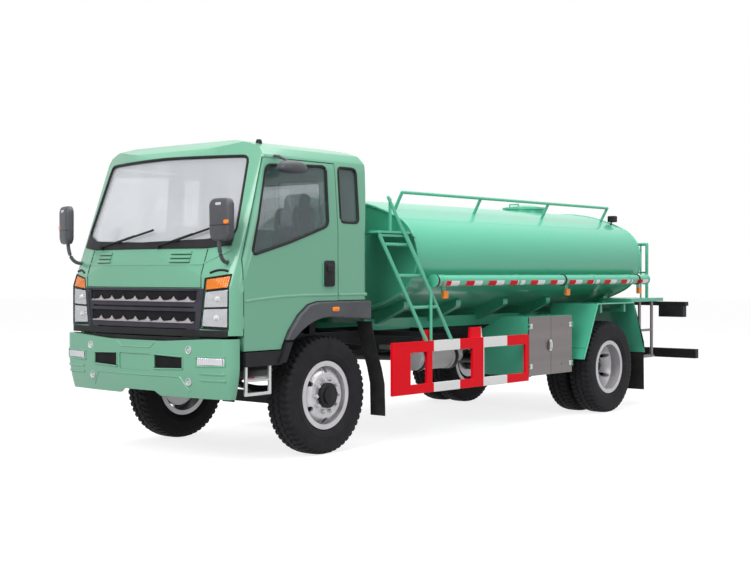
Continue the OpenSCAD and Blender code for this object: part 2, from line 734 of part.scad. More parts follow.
fender_in = 640;
module rear_fenders() {
  out = [[580, 620], [515, 745], [280, 1217], [-530, 1217], [-770, 760], [-790, 635]];
  in = [[-782, 635], [-762, 762], [-525, 1209], [275, 1209], [507, 742], [572, 620]];
  color(paint) both() {
    at_rear() {
      along_y(concat(out, in), fender_in, overall_w / 2);
      for (x = [130, -400]) {
        box([x - 20, rail_y, 1112], [x + 20, overall_w / 2 - 50, 1150]);
        for (y = [fender_in + 60, overall_w / 2 - 90]) box([x - 20, y, 1112], [x + 20, y + 40, 1212]);
        box([x - 20, rail_y, 1040], [x + 20, rail_y + 12, 1140]);
      }
    }
  }
}
module mudguards() {
  color(black) both() {
    at_front() {
      along_y(concat([[-560, 1125], [-590, 1000], [-640, 850], [-700, 700], [-740, 560], [-750, 270]],
        [[-738, 270], [-728, 560], [-688, 704], [-628, 854], [-578, 1003], [-548, 1125]]), 885, 1050);
      box([-640, rail_y, 860], [-605, 900, 910]);
    }
    at_rear() {
      along_y([[-800, 640], [-790, 640], [-800, 200], [-810, 200]], fender_in + 20, overall_w / 2 - 20);
      box([-830, rail_y, 850], [-770, fender_in + 60, 890]);
      box([-810, fender_in + 20, 560], [-798, fender_in + 80, 890]);
    }
  }
}
module platform() {
  wing_y = 760;
  post_r = 19;
  color(paint) {
    box([deck_back, -1180, deck_z], [tank_back - 8, 1180, deck_z + deck_t]);
    both() {
      box([tank_back - 10, wing_y, deck_z], [rear_x - 560, 1180, deck_z + deck_t]);
      for (x = [tank_back - 120, deck_back + 60])
        box([x, rail_y - rail_flange, frame_top], [x + 60, rail_y, deck_z]);
      bent([[deck_back + 70, 1000, deck_z + 5], [deck_back + 70, 1000, 1900], [deck_back + 70, 0, 1900]], post_r);
      rod([deck_back + 70, 920, deck_z + 5], [deck_back + 70, 920, 1900], 10);
      rod([deck_back + 70, 0, 1560], [deck_back + 70, 1000, 1560], 12);
    }
  }
}
module rear_steps() {
  y = 1100;
  color(steel) both() {
    bent([[rear_x - 900, y, deck_z], [rear_x - 900, y, 570], [rear_x - 1200, y, 570], [rear_x - 1200, y, deck_z]], 18);
    rod([rear_x - 900, y, 880], [rear_x - 1200, y, 880], 15);
    box([rear_x - 1200, y - 60, 560], [rear_x - 900, y + 40, 580]);
  }
}
module underrun_bar() {
  z0 = 490;
  z1 = 605;
  color(black) {
    box([bar_back, -1200, z0], [bar_back + 80, 1200, z1]);
    both() {
      along_y([[rail_back + 250, rail_bot + 20], [rail_back + 250, frame_top - 20], [rail_back - 20, frame_top - 20],
        [bar_back + 80, z1], [bar_back + 80, z0], [bar_back + 180, z0]], rail_y, rail_y + 14);
      box([lamp_bar_x - 25, rail_y - 60, frame_top], [lamp_bar_x + 25, rail_y, lamp_bar_z + 10]);
    }
    box([lamp_bar_x - 40, -1200, lamp_bar_z], [lamp_bar_x + 40, 1200, lamp_bar_z + 50]);
  }
}

// Cab form: side, plan and front outlines, each set in by t

function side_pts(t, low, rear_low) = concat(
  [[cab_front - 10 - t, low], [cab_front - t, tall(1400)], [cab_front - 15 - t, tall(1640)],
    [screen_base[0] + 2 - t, screen_base[1]], [960 - t, cab_top - 230 - t * 0.3], [850 - t, cab_top - 125 - t * 0.8],
    [710 - t, cab_top - 55 - t], [560, cab_top - 28 - t], [300, cab_top - 5 - t], [-50, cab_top - t]],
  arc([cab_rear + rear_round, cab_top - 20 - rear_round], rear_round - t, 85, 180, 6),
  [[cab_rear + t, rear_low], [door_front - 25, rear_low], [door_front - 25, low]]
);
function plan_pts(t) =
  let (f = plan_half(cab_front, cab_w / 2, bow_r, corner_r, t))
  concat(back(mir(tail(f))), f, arc([cab_rear + 90, cab_w / 2 - 90], 90 - t, 90, 180, 4),
    arc([cab_rear + 90, -cab_w / 2 + 90], 90 - t, 180, 270, 4));
// The leaning screen and the body behind it, square to the screen
function screen_pts(t) =
  let (f = plan_half(0, cab_w / 2 - 5, screen_bow, screen_corner, t))
  concat(back(mir(tail(f))), f, [[-3000, cab_w], [-3000, -cab_w]]);
function front_half(t) = concat(
  [[cab_w / 2 - t, 700], [cab_w / 2 - t, belt_z], [cab_w / 2 - 40 - t, cab_top - 270],
    [cab_w / 2 - 58 - t * 0.9, cab_top - 190 - t * 0.3], [cab_w / 2 - 105 - t * 0.6, cab_top - 125 - t * 0.8]],
  [for (i = [4:-1:0]) let (y = wide(210) * i) [y, cab_top - crown * pow(y / wide(880), 2) - t]]
);
function front_pts(t) =
  let (h = front_half(t))
  concat(h, [for (i = [len(h) - 2:-1:0]) [-h[i][0], h[i][1]]]);

module cab_form(t, low, rear_low) {
  intersection() {
    along_y(side_pts(t, low, rear_low), -cab_w, cab_w);
    along_z(plan_pts(t), 700, cab_top + 190);
    along_x(front_pts(t), -700, 1400);
    translate([screen_base[0], 0, screen_base[1]]) rotate([0, -screen_lean, 0])
      along_z(screen_pts(t), -1400, 1400);
  }
}
module cab_skin(t0, t1) {
  difference() {
    cab_form(t0, 800, 800);
    cab_form(t1, 790, 790);
  }
}

// Openings in the side of the cab as [x, z], wider by g
function door_pts(g, f) = [
  [door_front + f, door_low - g], [door_front + f, tall(1660)], [735 + f, door_top + g], [door_back - g, door_top + g],
  [door_back - g, arch_top + door_gap - g], [152, arch_top + door_gap - g], [276 - g, 1292 - g],
  [398 - g, 1206 - g], [508 - g, 1080 - g], [556 - g, 1000 - g], [590 - g, door_low - g]
];
door_win = eased([[918, tall(1692)], [480, tall(1805)], [0, tall(1955)], [-8, cab_top - 245],
  [722, cab_top - 278]], 55);
quarter_win = eased([[-400, tall(1990)], [-160, tall(1990)], [-160, cab_top - 245], [-400, cab_top - 245]], 50);
function fit(p) = [for (q = p) [wide(q[0]), tall(q[1])]];
screen = eased(fit([[-930, 1868], [-700, 1800], [0, 1782], [700, 1800], [930, 1868], [862, 2505], [0, 2518],
  [-862, 2505]]), 55);
rear_win = eased(fit([[-480, 1950], [480, 1950], [480, 2380], [-480, 2380]]), 60);
grille_pts = eased(fit([[-660, 1062], [660, 1062], [720, 1405], [640, 1428], [-640, 1428], [-720, 1405]]), 25);
lamp_pts = eased(fit([[708, 1108], [985, 1100], [988, 1545], [764, 1512]]), 25);
pocket = 35;
lamp_back = 1050;

module cab_shell() {
  color(paint) at_front() {
    difference() {
      cab_form(0, cab_low, cab_rear_low);
      cab_form(cab_wall, 790, 790);
      both() along_y(door_pts(door_gap, 12), wide(700), cab_w);
      both() along_y(quarter_win, wide(700), cab_w);
      along_x(screen, 600, 1300);
      along_x(rear_win, -700, -400);
      difference() {
        union() {
          along_x(grille_pts, 1000, 1300);
          both() along_x(lamp_pts, lamp_back, 1300);
        }
        cab_form(pocket, 790, 790);
      }
      // louvres under the screen
      for (s = [-1, 1], k = [-1:1])
        let (y = s * wide(473), z = tall(1690) + 16 * k)
          along_x(eased([[y - 55, z], [y + 55, z], [y + 55, z + 8], [y - 55, z + 8]], 3, 2), cab_front - 40, 1300);
    }
    both() for (z = hinge_z, k = [0, 71]) translate([hinge_x, hinge_y, z + k]) {
      cylinder(r = hinge_r, h = 24);
      box([0, -hinge_r, 0], [12, hinge_r - 3, 24]);
    }
  }
}
hinge_y = cab_w / 2 - 3;
module cab_floor() {
  sec = [[1250, foot_z], [1250, foot_z + floor_t], [515, foot_z + floor_t], [515, floor_top], [-600, floor_top],
    [-600, floor_top - floor_t], [480, floor_top - floor_t], [480, foot_z]];
  color(paint) at_front() {
    intersection() {
      along_y(sec, -cab_w / 2 + 60, cab_w / 2 - 60);
      cab_form(cab_wall, 790, 790);
    }
    both() {
      box([640, cab_w / 2 - 140, 975], [950, cab_w / 2 - 60, foot_z]);
      difference() {
        union() {
          along_y([[tilt_x - 10, tilt_z - 36], [tilt_x + 34, tilt_z + 16], [1080, foot_z], [600, foot_z],
            [600, 1020], [1000, 1000]], rail_y + 16, rail_y + 46);
          pin_y([tilt_x, rail_y + 16, tilt_z], 38, 30);
        }
        pin_y([tilt_x, rail_y, tilt_z], tilt_r + pin_gap, 80);
      }
    }
  }
}
// A long opening whose lower edge runs in n teeth of height d
function toothed(half, z0, z1, d, n) = concat(
  [for (i = [0:2 * n]) [half * (i / n - 1), z0 + (i % 2 == 0 ? 0 : d)]],
  [[half + 8, z1], [-half - 8, z1]]
);
grille_back = 26;
module grille() {
  color(black) at_front() difference() {
    intersection() {
      cab_skin(4, pocket);
      along_x(grille_pts, 1000, 1300);
    }
    difference() {
      union() {
        along_x(fit(toothed(670, 1320, 1408, 14, 17)), 1000, 1300);
        along_x(fit(toothed(652, 1150, 1242, 14, 17)), 1000, 1300);
        // a slot in the bar between the rows and one in the bar below
        along_x(fit([[-640, 1270], [640, 1270], [640, 1282], [-640, 1282]]), cab_front - 60, 1300);
        along_x(fit([[-560, 1095], [560, 1095], [560, 1105], [-560, 1105]]), cab_front - 60, 1300);
      }
      cab_form(grille_back, 790, 790);
    }
  }
}
module headlamps() {
  color(lamp) at_front() both() intersection() {
    cab_skin(3, pocket);
    along_x(lamp_pts, lamp_back, 1300);
  }
}
module cab_glass() {
  color(glass) at_front() intersection() {
    cab_skin(12, 12 + glass_t);
    union() {
      along_x(screen, 600, 1300);
      along_x(rear_win, -700, -400);
      both() along_y(quarter_win, wide(700), cab_w);
    }
  }
}
// Wiper arms and blades lie just in front of the screen
function on_screen(y, z, out) = [
  screen_base[0] - tan(screen_lean) * (z - screen_base[1])
    - (screen_bow - sqrt(pow(screen_bow, 2) - y * y)) / cos(screen_lean) + out, y, z];
module wipers() {
  // pivot y, z, then the blade from y, z to y, z
  arms = [[-560, 1775, -330, 1812, 120, 1908], [230, 1775, 395, 1815, 725, 1917]];
  function spot(a, k) = on_screen(wide(a[k]), tall(a[k + 1]), 26);
  color(black) at_front() for (a = arms) {
    pivot = spot(a, 0);
    b0 = spot(a, 2);
    b1 = spot(a, 4);
    rod(b0, b1, 9);
    rod(pivot, (b0 + b1) / 2 + [6, 0, 4], 7);
    difference() {
      rod(pivot + [12, 0, 0], pivot - [80, 0, 30], 17);
      cab_form(-seat_gap, 790, 790);
    }
  }
}
mirror_x = 1215;
module mirrors() {
  color(black) at_front() difference() {
    both() {
      along_x(eased(fit([[865, 1805], [1105, 1805], [1115, 2140], [865, 2140]]), 40), mirror_x - 40, mirror_x + 25);
      bent([[mirror_x - 140, wide(930), tall(1640)], [mirror_x - 20, wide(955), tall(1680)],
        [mirror_x - 10, wide(960), tall(1850)]], 16);
    }
    cab_form(-seat_gap, 790, 790);
  }
}
module dashboard() {
  sec = eased([[1190, tall(1400)], [1190, tall(1745)], [1020, tall(1765)], [860, tall(1700)], [845, tall(1560)],
    [960, tall(1420)]], 30);
  color(black) at_front() intersection() {
    along_y(sec, -cab_w / 2 + 115, cab_w / 2 - 115);
    cab_form(cab_wall, 790, 790);
  }
}
module seats() {
  color(black) at_front() for (y = [-wide(470), wide(470)]) {
    box([-60, y - 200, floor_top], [330, y + 200, 1430]);
    along_y(eased([[-120, 1428], [400, 1428], [420, 1530], [380, 1560], [-60, 1530], [-130, 1540]], 30), y - 250, y + 250);
    along_y(eased([[-130, 1500], [-10, 1540], [-120, 1960], [-150, 2180], [-220, 2190], [-250, 1960]], 30), y - 250, y + 250);
  }
}
wheel_c = [640, -wide(470), 1730];
module steering_wheel() {
  low = [905, -wide(470), 1095];
  ax = unit(wheel_c - low);
  tilt = acos(ax[2]);
  color(black) at_front() difference() {
    union() {
      rod(low - ax * 40, wheel_c - ax * 8, 26);
      translate(wheel_c) rotate([0, -tilt, 0]) {
        rotate_extrude($fn = 64) translate([215, 0]) circle(r = 16, $fn = 24);
        translate([0, 0, -25]) cylinder(r = 60, h = 40);
        for (a = [0, 120, 240]) rotate([0, 0, a + 60]) box([40, -18, -10], [212, 18, 8]);
      }
    }
    box([500, -cab_w / 2, 1000], [1200, 0, foot_z + floor_t + seat_gap]);
  }
}
module arch_flares() {
  out = [[-530, arch_top], [150, arch_top], [270, 1285], [390, 1198], [500, 1072], [545, 1000]];
  in = concat([[470, 1000]], [for (i = [0:6]) let (a = 50 + 45 * i / 6) [671 * cos(a), 509 + 671 * sin(a)]], [[-530, 1147]]);
  color(black) at_front() both() {
    along_y(concat(out, in), cab_w / 2 - 55, flare_out);
    box([-480, cab_w / 2 - 140, 1240], [150, cab_w / 2 - 50, arch_top]);
  }
}
step_y = cab_w / 2 - 40;
module cab_steps() {
  color(black) at_front() both() {
    along_y([[478, 985], [540, 985], [578, 922], [640, 820], [560, 820], [520, 900]], cab_w / 2 - 55, flare_out);
    box([590, cab_w / 2 - 110, 805], [1010, cab_w / 2 + 20, 920]);
    box([760, rail_y, 850], [840, cab_w / 2 - 100, 900]);
    bent([[680, step_y, 810], [680, step_y, 580], [950, step_y, 580], [950, step_y, 810]], 15);
    rod([680, step_y, 690], [950, step_y, 690], 12);
  }
}

// Doors

module door() {
  difference() {
    intersection() {
      cab_skin(0, cab_wall);
      along_y(door_pts(0, 0), wide(700), cab_w);
    }
    along_y(door_win, wide(700), cab_w);
  }
  // hinge barrels and outer handle
  for (z = hinge_z) translate([hinge_x, hinge_y, z + 25]) {
    cylinder(r = hinge_r, h = 45);
    box([-14, -hinge_r, 0], [0, hinge_r - 3, 45]);
  }
  along_y(eased([[-62, tall(1440)], [74, tall(1440)], [74, tall(1655)], [-62, tall(1655)]], 20), cab_w / 2 - 10,
    cab_w / 2 + 10);
}
module door_left() { color(paint) at_front() door(); }
module door_right() { color(paint) at_front() mirror([0, 1, 0]) door(); }
module door_glass() {
  intersection() {
    cab_skin(12, 12 + glass_t);
    along_y(door_win, wide(700), cab_w);
  }
}
module glass_left() { color(glass) at_front() door_glass(); }
module glass_right() { color(glass) at_front() mirror([0, 1, 0]) door_glass(); }
kerb_y = cab_w / 2 + 45;
kerb_z = cab_top - 330;
module kerb_mirror() {
  color(black) at_front() difference() {
    union() {
      along_x(eased([[kerb_y, kerb_z], [kerb_y + 130, kerb_z], [kerb_y + 130, kerb_z + 40], [kerb_y, kerb_z + 50]], 15),
        420, 700);
      for (x = [500, 620]) rod([x, kerb_y - 145, kerb_z + 110], [x, kerb_y + 65, kerb_z + 25], 13);
    }
    cab_form(-seat_gap, 790, 790);
  }
}

module knuckle_left() { knuckle(); }
module knuckle_right() { mirror([0, 1, 0]) knuckle(); }
module tyre_front_left() { color(black) front_place() tyre(); }
module tyre_front_right() { color(black) mirror([0, 1, 0]) front_place() tyre(); }
module rim_front_left() { color(steel) front_place() rim_front(); }
module rim_front_right() { color(steel) mirror([0, 1, 0]) front_place() rim_front(); }
module tyres_rear_left() { color(black) rear_place() tyres_rear(); }
module tyres_rear_right() { color(black) mirror([0, 1, 0]) rear_place() tyres_rear(); }
module rims_rear_left() { color(steel) rear_place() rims_rear(); }
module rims_rear_right() { color(steel) mirror([0, 1, 0]) rear_place() rims_rear(); }

frame();
engine();
front_axle();
rear_axle();
leaf_springs();
prop_shaft();
front_bumper();
chassis_lamps();
tank();
tank_bearers();
side_tubes();
top_rails();
ladder();
side_guards();
tool_box();
air_cleaner();
fuel_tank();
rear_fenders();
mudguards();
platform();
rear_steps();
underrun_bar();
cab_steps();
cab_shell();
cab_floor();
grille();
headlamps();
cab_glass();
wipers();
mirrors();
dashboard();
seats();
steering_wheel();
arch_flares();
door_left();
glass_left();
kerb_mirror();
door_right();
glass_right();
manhole_lid();
box_leaf_front();
box_leaf_rear();
knuckle_left();
knuckle_right();
tie_rod();
tyre_front_left();
rim_front_left();
tyre_front_right();
rim_front_right();
tyres_rear_left();
rims_rear_left();
tyres_rear_right();
rims_rear_right();
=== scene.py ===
import json
from math import asin, atan2, copysign, cos, pi, radians, sin, tan
import bmesh
import bpy
import numpy as np
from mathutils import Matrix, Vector


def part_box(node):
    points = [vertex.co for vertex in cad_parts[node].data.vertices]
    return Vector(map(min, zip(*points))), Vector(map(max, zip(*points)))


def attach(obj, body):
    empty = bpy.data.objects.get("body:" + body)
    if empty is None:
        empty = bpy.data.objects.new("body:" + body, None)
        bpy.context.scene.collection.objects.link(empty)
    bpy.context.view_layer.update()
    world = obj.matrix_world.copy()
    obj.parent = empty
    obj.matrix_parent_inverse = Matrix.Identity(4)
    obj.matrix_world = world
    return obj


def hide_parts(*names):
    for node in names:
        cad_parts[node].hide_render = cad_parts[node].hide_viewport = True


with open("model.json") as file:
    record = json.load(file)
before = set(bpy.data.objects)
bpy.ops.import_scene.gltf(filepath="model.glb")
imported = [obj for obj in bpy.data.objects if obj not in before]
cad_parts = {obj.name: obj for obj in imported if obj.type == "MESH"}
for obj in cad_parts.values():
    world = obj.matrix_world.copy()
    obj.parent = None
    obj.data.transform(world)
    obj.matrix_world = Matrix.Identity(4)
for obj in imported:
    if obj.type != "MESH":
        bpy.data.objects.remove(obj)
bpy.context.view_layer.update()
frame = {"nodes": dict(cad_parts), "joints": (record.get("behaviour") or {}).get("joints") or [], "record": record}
bodyOf = {node: body for body, nodes in frame["record"]["behaviour"]["bodies"].items() for node in nodes}
joint = {j["child"]: j for j in frame["joints"]}
link = bpy.context.scene.collection.objects.link
print("frame loaded:", len(frame["nodes"]), "nodes")

# camera, floor and light

view = {
    "place": (10.892, 8.318, 1.549), "yaw": 219.73, "pitch": -0.36, "lens": 61.45, "sensor": 36.0,
    "far": 200.0,
}
light = {
    "worldLevel": 0.32, "floorColour": (0.3, 0.3, 0.3), "floorGlow": 0.8, "floorHalf": 60.0,
    "keyPlace": (13.0, 3.5, 7.5), "keySize": 8.0, "keyPower": 1250.0,
    "topPlace": (0.5, 1.5, 11.0), "topSize": 12.0, "topPower": 1350.0,
    "sidePlace": (1.0, 14.0, 6.0), "sideSize": 8.0, "sidePower": 360.0,
    "aim": (0.5, 0.0, 1.2),
}


def setCamera():
    yaw, pitch = radians(view["yaw"]), radians(view["pitch"])
    ahead = Vector((cos(yaw) * cos(pitch), sin(yaw) * cos(pitch), sin(pitch)))
    data = bpy.data.cameras.new("photoCamera")
    data.sensor_fit, data.sensor_width, data.lens = "HORIZONTAL", view["sensor"], view["lens"]
    data.clip_end = view["far"]
    camera = bpy.data.objects.new("photoCamera", data)
    camera.location = view["place"]
    camera.rotation_euler = ahead.to_track_quat("-Z", "Y").to_euler()
    link(camera)
    bpy.context.scene.camera = camera


def areaLamp(name, place, size, power):
    data = bpy.data.lights.new(name, "AREA")
    data.shape, data.size, data.energy = "DISK", size, power
    lamp = bpy.data.objects.new(name, data)
    lamp.location = place
    lamp.rotation_euler = (Vector(light["aim"]) - Vector(place)).to_track_quat("-Z", "Y").to_euler()
    link(lamp)


def setInputs(node, values):
    for socket, value in values.items():
        node.inputs[socket].default_value = value


def newNode(tree, kind, values, sources):
    # a shader node with some inputs set and others linked
    node = tree.nodes.new("ShaderNode" + kind)
    setInputs(node, values)
    for socket, output in sources.items():
        tree.links.new(output, node.inputs[socket])
    return node


def newMaterial(name):
    mat = bpy.data.materials.new(name)
    mat.use_nodes = True
    return mat, mat.node_tree, mat.node_tree.nodes["Principled BSDF"]


def seenRays(tree):
    # 1 for rays from the camera, off gloss or through glass, else 0
    path = tree.nodes.new("ShaderNodeLightPath")
    total = path.outputs["Is Camera Ray"]
    for other in ("Is Glossy Ray", "Is Transmission Ray"):
        both = newNode(tree, "Math", {}, {0: total, 1: path.outputs[other]})
        both.operation = "MAXIMUM"
        total = both.outputs[0]
    return total


def setStage():
    white = (1.0, 1.0, 1.0, 1.0)
    world = bpy.data.worlds.new("studio")
    bpy.context.scene.world = world
    world.use_nodes = True
    tree = world.node_tree
    back = tree.nodes["Background"]
    setInputs(back, {"Color": white})
    levels = {"To Min": light["worldLevel"], "To Max": 1.0}  # white to the eye, softer as light
    bright = newNode(tree, "MapRange", levels, {"Value": seenRays(tree)})
    tree.links.new(bright.outputs["Result"], back.inputs["Strength"])
    mesh = bpy.data.meshes.new("floor")
    h = light["floorHalf"]
    mesh.from_pydata([(-h, -h, 0.0), (h, -h, 0.0), (h, h, 0.0), (-h, h, 0.0)], [], [(0, 1, 2, 3)])
    floor = bpy.data.objects.new("floor", mesh)
    link(floor)
    mat, tree, shader = newMaterial("floorWhite")
    setInputs(shader, {"Base Color": (*light["floorColour"], 1.0), "Roughness": 0.9,
                       "Emission Color": white})
    # lifted towards white where it is seen
    lift = newNode(tree, "Math", {1: light["floorGlow"]}, {0: seenRays(tree)})
    lift.operation = "MULTIPLY"
    tree.links.new(lift.outputs[0], shader.inputs["Emission Strength"])
    mesh.materials.append(mat)
    for name in ("key", "top", "side"):
        areaLamp(name + "Lamp", light[name + "Place"], light[name + "Size"], light[name + "Power"])
    bpy.context.scene.view_settings.view_transform = "Standard"


setCamera()
setStage()
print("camera, floor and light set")

# finishes, one row each: the columns name what the numbers are, and the noise of a brushed one is drawn out

columns = ("colour", "rough", "metal", "coat", "shine", "vary", "scale", "bump", "grain")
finish = {
    "tankPaint": ((0.078, 0.44, 0.285), 0.3, 0.0, 0.35, 0.35, 0.012, 0.8, 0.0, 9.0),
    "cabPaint": ((0.14, 0.375, 0.25), 0.28, 0.0, 0.35, 0.35, 0.012, 0.8, 0.0, 9.0),
    "chassisBlack": ((0.012, 0.012, 0.014), 0.48, 0.0, 0.0, 0.18, 0.4, 6.0, 0.06, 60.0),
    "flapRubber": ((0.02, 0.02, 0.02), 0.75, 0.0, 0.0, 0.18, 0.4, 8.0, 0.1, 90.0),
    "blackPlastic": ((0.013, 0.013, 0.015), 0.52, 0.0, 0.0, 0.18, 0.3, 8.0, 0.12, 380.0),
    "grillePlastic": ((0.034, 0.032, 0.044), 0.5, 0.0, 0.0, 0.2, 0.2, 8.0, 0.1, 380.0),
    # pale grey for the grille lips: a painted highlight on their tops
    "lipGrey": ((0.345, 0.315, 0.34), 0.46, 0.0, 0.0, 0.25, 0.06, 8.0, 0.04, 200.0),
    "flareGrey": ((0.06, 0.063, 0.072), 0.46, 0.0, 0.0, 0.35, 0.2, 6.0, 0.1, 300.0),
    "seatCloth": ((0.09, 0.09, 0.1), 0.9, 0.0, 0.0, 0.5, 0.3, 40.0, 0.3, 420.0),
    "whitePaint": ((0.8, 0.8, 0.8), 0.28, 0.0, 0.4, 0.5, 0.04, 4.0, 0.02, 12.0),
    "stainless": ((0.195, 0.175, 0.175), 0.36, 0.95, 0.0, 0.5, 0.12, 5.0, 0.05, 60.0),
    "greyPlastic": ((0.42, 0.44, 0.45), 0.42, 0.0, 0.0, 0.5, 0.08, 6.0, 0.05, 160.0),
    "aluminium": ((0.5, 0.51, 0.52), 0.36, 0.9, 0.0, 0.5, 0.1, 5.0, 0.04, 50.0),
    "tyreRubber": ((0.013, 0.013, 0.015), 0.72, 0.0, 0.0, 0.18, 0.35, 9.0, 0.1, 140.0),
    "rimSilver": ((0.52, 0.51, 0.53), 0.36, 0.55, 0.0, 0.5, 0.1, 7.0, 0.04, 70.0),
    "lampClear": ((0.8, 0.8, 0.78), 0.1, 0.0, 1.0, 0.5, 0.05, 9.0, 0.02, 30.0),
    "amberLens": ((0.95, 0.23, 0.002), 0.22, 0.0, 0.25, 0.3, 0.1, 60.0, 0.1, 260.0),
    "redLens": ((0.68, 0.006, 0.012), 0.3, 0.0, 0.2, 0.3, 0.1, 60.0, 0.1, 260.0),
    "tapeRed": ((0.74, 0.004, 0.018), 0.45, 0.0, 0.0, 0.12, 0.04, 20.0, 0.02, 200.0),
    "lampSilver": ((0.58, 0.59, 0.62), 0.24, 0.6, 0.0, 0.5, 0.03, 9.0, 0.0, 10.0),
    "mirrorFace": ((0.8, 0.81, 0.82), 0.04, 1.0, 0.0, 0.5, 0.02, 4.0, 0.0, 10.0),
}
brushed = {"stainless": (0.04, 1.0, 1.0)}
stripe = {
    "red": (0.78, 0.004, 0.014), "white": (0.8, 0.8, 0.8), "edges": (0.25, 0.65, 1.04, 1.45),
    "span": (-0.5, 2.5),
}


def colourNodes(tree, spec):
    # noise over Object coordinates shades the colour a little either way
    coord = tree.nodes.new("ShaderNodeTexCoord")
    place = newNode(tree, "Mapping", {"Scale": spec["stretch"]}, {"Vector": coord.outputs["Object"]})
    place = place.outputs["Vector"]
    noise = newNode(tree, "TexNoise", {"Scale": spec["scale"], "Detail": 5.0}, {"Vector": place})
    ramp = newNode(tree, "ValToRGB", {}, {"Fac": noise.outputs["Fac"]})
    base = np.array(spec["colour"])
    levels = (1.0 - spec["vary"], 1.0 + spec["vary"])
    for stop, level, at in zip(ramp.color_ramp.elements, levels, (0.3, 0.7)):
        stop.position = at
        stop.color = (*np.clip(base * level, 0.0, 1.0), 1.0)
    return place, noise.outputs["Fac"], ramp.outputs["Color"]


def makeFinish(name):
    spec = dict(zip(columns, finish[name]), stretch=brushed.get(name, (1.0, 1.0, 1.0)))
    mat, tree, shader = newMaterial(name)
    place, noise, colour = colourNodes(tree, spec)
    tree.links.new(colour, shader.inputs["Base Color"])
    limits = {"To Min": spec["rough"] * 0.95, "To Max": spec["rough"] * 1.05}
    rough = newNode(tree, "MapRange", limits, {"Value": noise})
    tree.links.new(rough.outputs["Result"], shader.inputs["Roughness"])
    setInputs(shader, {"Metallic": spec["metal"], "Specular IOR Level": spec["shine"],
                       "Coat Weight": spec["coat"], "Coat Roughness": 0.06})
    if spec["bump"] > 0.0:
        grain = newNode(tree, "TexNoise", {"Scale": spec["grain"], "Detail": 3.0}, {"Vector": place})
        depth = {"Strength": spec["bump"], "Distance": 0.004}
        bump = newNode(tree, "Bump", depth, {"Height": grain.outputs["Fac"]})
        tree.links.new(bump.outputs["Normal"], shader.inputs["Normal"])
    return mat


pane = {  # colour, clearness and cover
    "windowGlass": ((0.25, 0.33, 0.36), 0.75, 0.46),
    # the windscreen's pale grey is a painted reflection of the bright sky on clear glass
    "screenGlass": ((0.74, 0.76, 0.8), 0.4, 0.62),
    "lampGlass": ((0.1, 0.1, 0.1), 0.0, 0.06),
}


def makeGlass(name):
    colour, clear, cover = pane[name]
    mat, tree, shader = newMaterial(name)
    setInputs(shader, {"Base Color": (*colour, 1.0), "Roughness": 0.02, "IOR": 1.2,
                       "Transmission Weight": clear, "Alpha": cover, "Coat Weight": 1.0})
    return mat


def makeStripes():
    # red and white bands along X, changed over at the named edges
    mat, tree, shader = newMaterial("guardStripes")
    coord = tree.nodes.new("ShaderNodeTexCoord")
    split = newNode(tree, "SeparateXYZ", {}, {"Vector": coord.outputs["Object"]})
    lo, hi = stripe["span"]
    along = newNode(tree, "MapRange", {"From Min": lo, "From Max": hi}, {"Value": split.outputs["X"]})
    ramp = newNode(tree, "ValToRGB", {}, {"Fac": along.outputs["Result"]})
    ramp.color_ramp.interpolation = "CONSTANT"
    stops = [0.0] + [(x - lo) / (hi - lo) for x in stripe["edges"]]
    while len(ramp.color_ramp.elements) < len(stops):
        ramp.color_ramp.elements.new(0.5)
    for stop, at, tone in zip(ramp.color_ramp.elements, stops, ("red", "white", "red", "white", "red")):
        stop.position = at
        stop.color = (*stripe[tone], 1.0)
    tree.links.new(ramp.outputs["Color"], shader.inputs["Base Color"])
    setInputs(shader, {"Roughness": 0.42, "Specular IOR Level": 0.1})
    return mat


material = {name: makeFinish(name) for name in finish}
material.update({name: makeGlass(name) for name in pane})
material["guardStripes"] = makeStripes()
print("finishes made:", len(material))

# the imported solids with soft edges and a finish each

dress = {
    "tankPaint": ["tank", "tank_bearers", "side_tubes", "top_rails", "ladder", "rear_fenders", "platform",
        "manhole_lid", "tool_box"],
    "cabPaint": ["front_bumper", "cab_shell", "cab_floor", "door_left", "door_right"],
    "chassisBlack": ["frame", "engine", "front_axle", "rear_axle", "leaf_springs", "prop_shaft",
        "underrun_bar", "knuckle_left", "knuckle_right", "tie_rod"],
    "flapRubber": ["mudguards"], "grillePlastic": ["grille"],
    "blackPlastic": ["wipers", "dashboard", "steering_wheel", "cab_steps"], "flareGrey": ["arch_flares"],
    "windowGlass": ["cab_glass", "glass_left", "glass_right"], "lampClear": ["chassis_lamps"],
    "guardStripes": ["side_guards"], "stainless": ["box_leaf_front", "box_leaf_rear", "rear_steps"],
    "greyPlastic": ["air_cleaner"], "aluminium": ["fuel_tank"],
    "rimSilver": ["rim_front_left", "rim_front_right", "rims_rear_left", "rims_rear_right"],
}
edge = {
    "smoothBelow": 32.0, "width": 0.004, "wider": {"arch_flares": 0.014, "tool_box": 0.006}, "flat": 0.6,
    "noBevel": ("windowGlass", "lampClear"),
    "rounder": {"cab_shell": 62.0, "door_left": 48.0, "door_right": 48.0},
}
# other finishes on part of a node: finish, then the test on a face's middle and its outward direction
partly = {
    "cab_glass": [("screenGlass", lambda c, n: c.x > 3.2)],
    "side_guards": [("chassisBlack", lambda c, n: abs(c.y) < 1.05)],
    "cab_steps": [("aluminium", lambda c, n: c.z < 0.8)],
    "chassis_lamps": [("amberLens", lambda c, n: c.z > 1.25),
        ("redLens", lambda c, n: c.x < -3.0 and n.x < -0.5),
        ("blackPlastic", lambda c, n: c.x < -3.0 and n.x >= -0.5)],
}

tuck = {
    "below": 0.8, "depth": 0.046, "floor": 0.548, "curve": 1.5, "levels": (0.6, 0.65, 0.7, 0.75, 0.8),
    "corner": 0.935, "arcBack": 0.179,
}


def welded(mesh):
    bm = bmesh.new()
    bm.from_mesh(mesh)
    bmesh.ops.remove_doubles(bm, verts=bm.verts, dist=1e-5)
    return bm


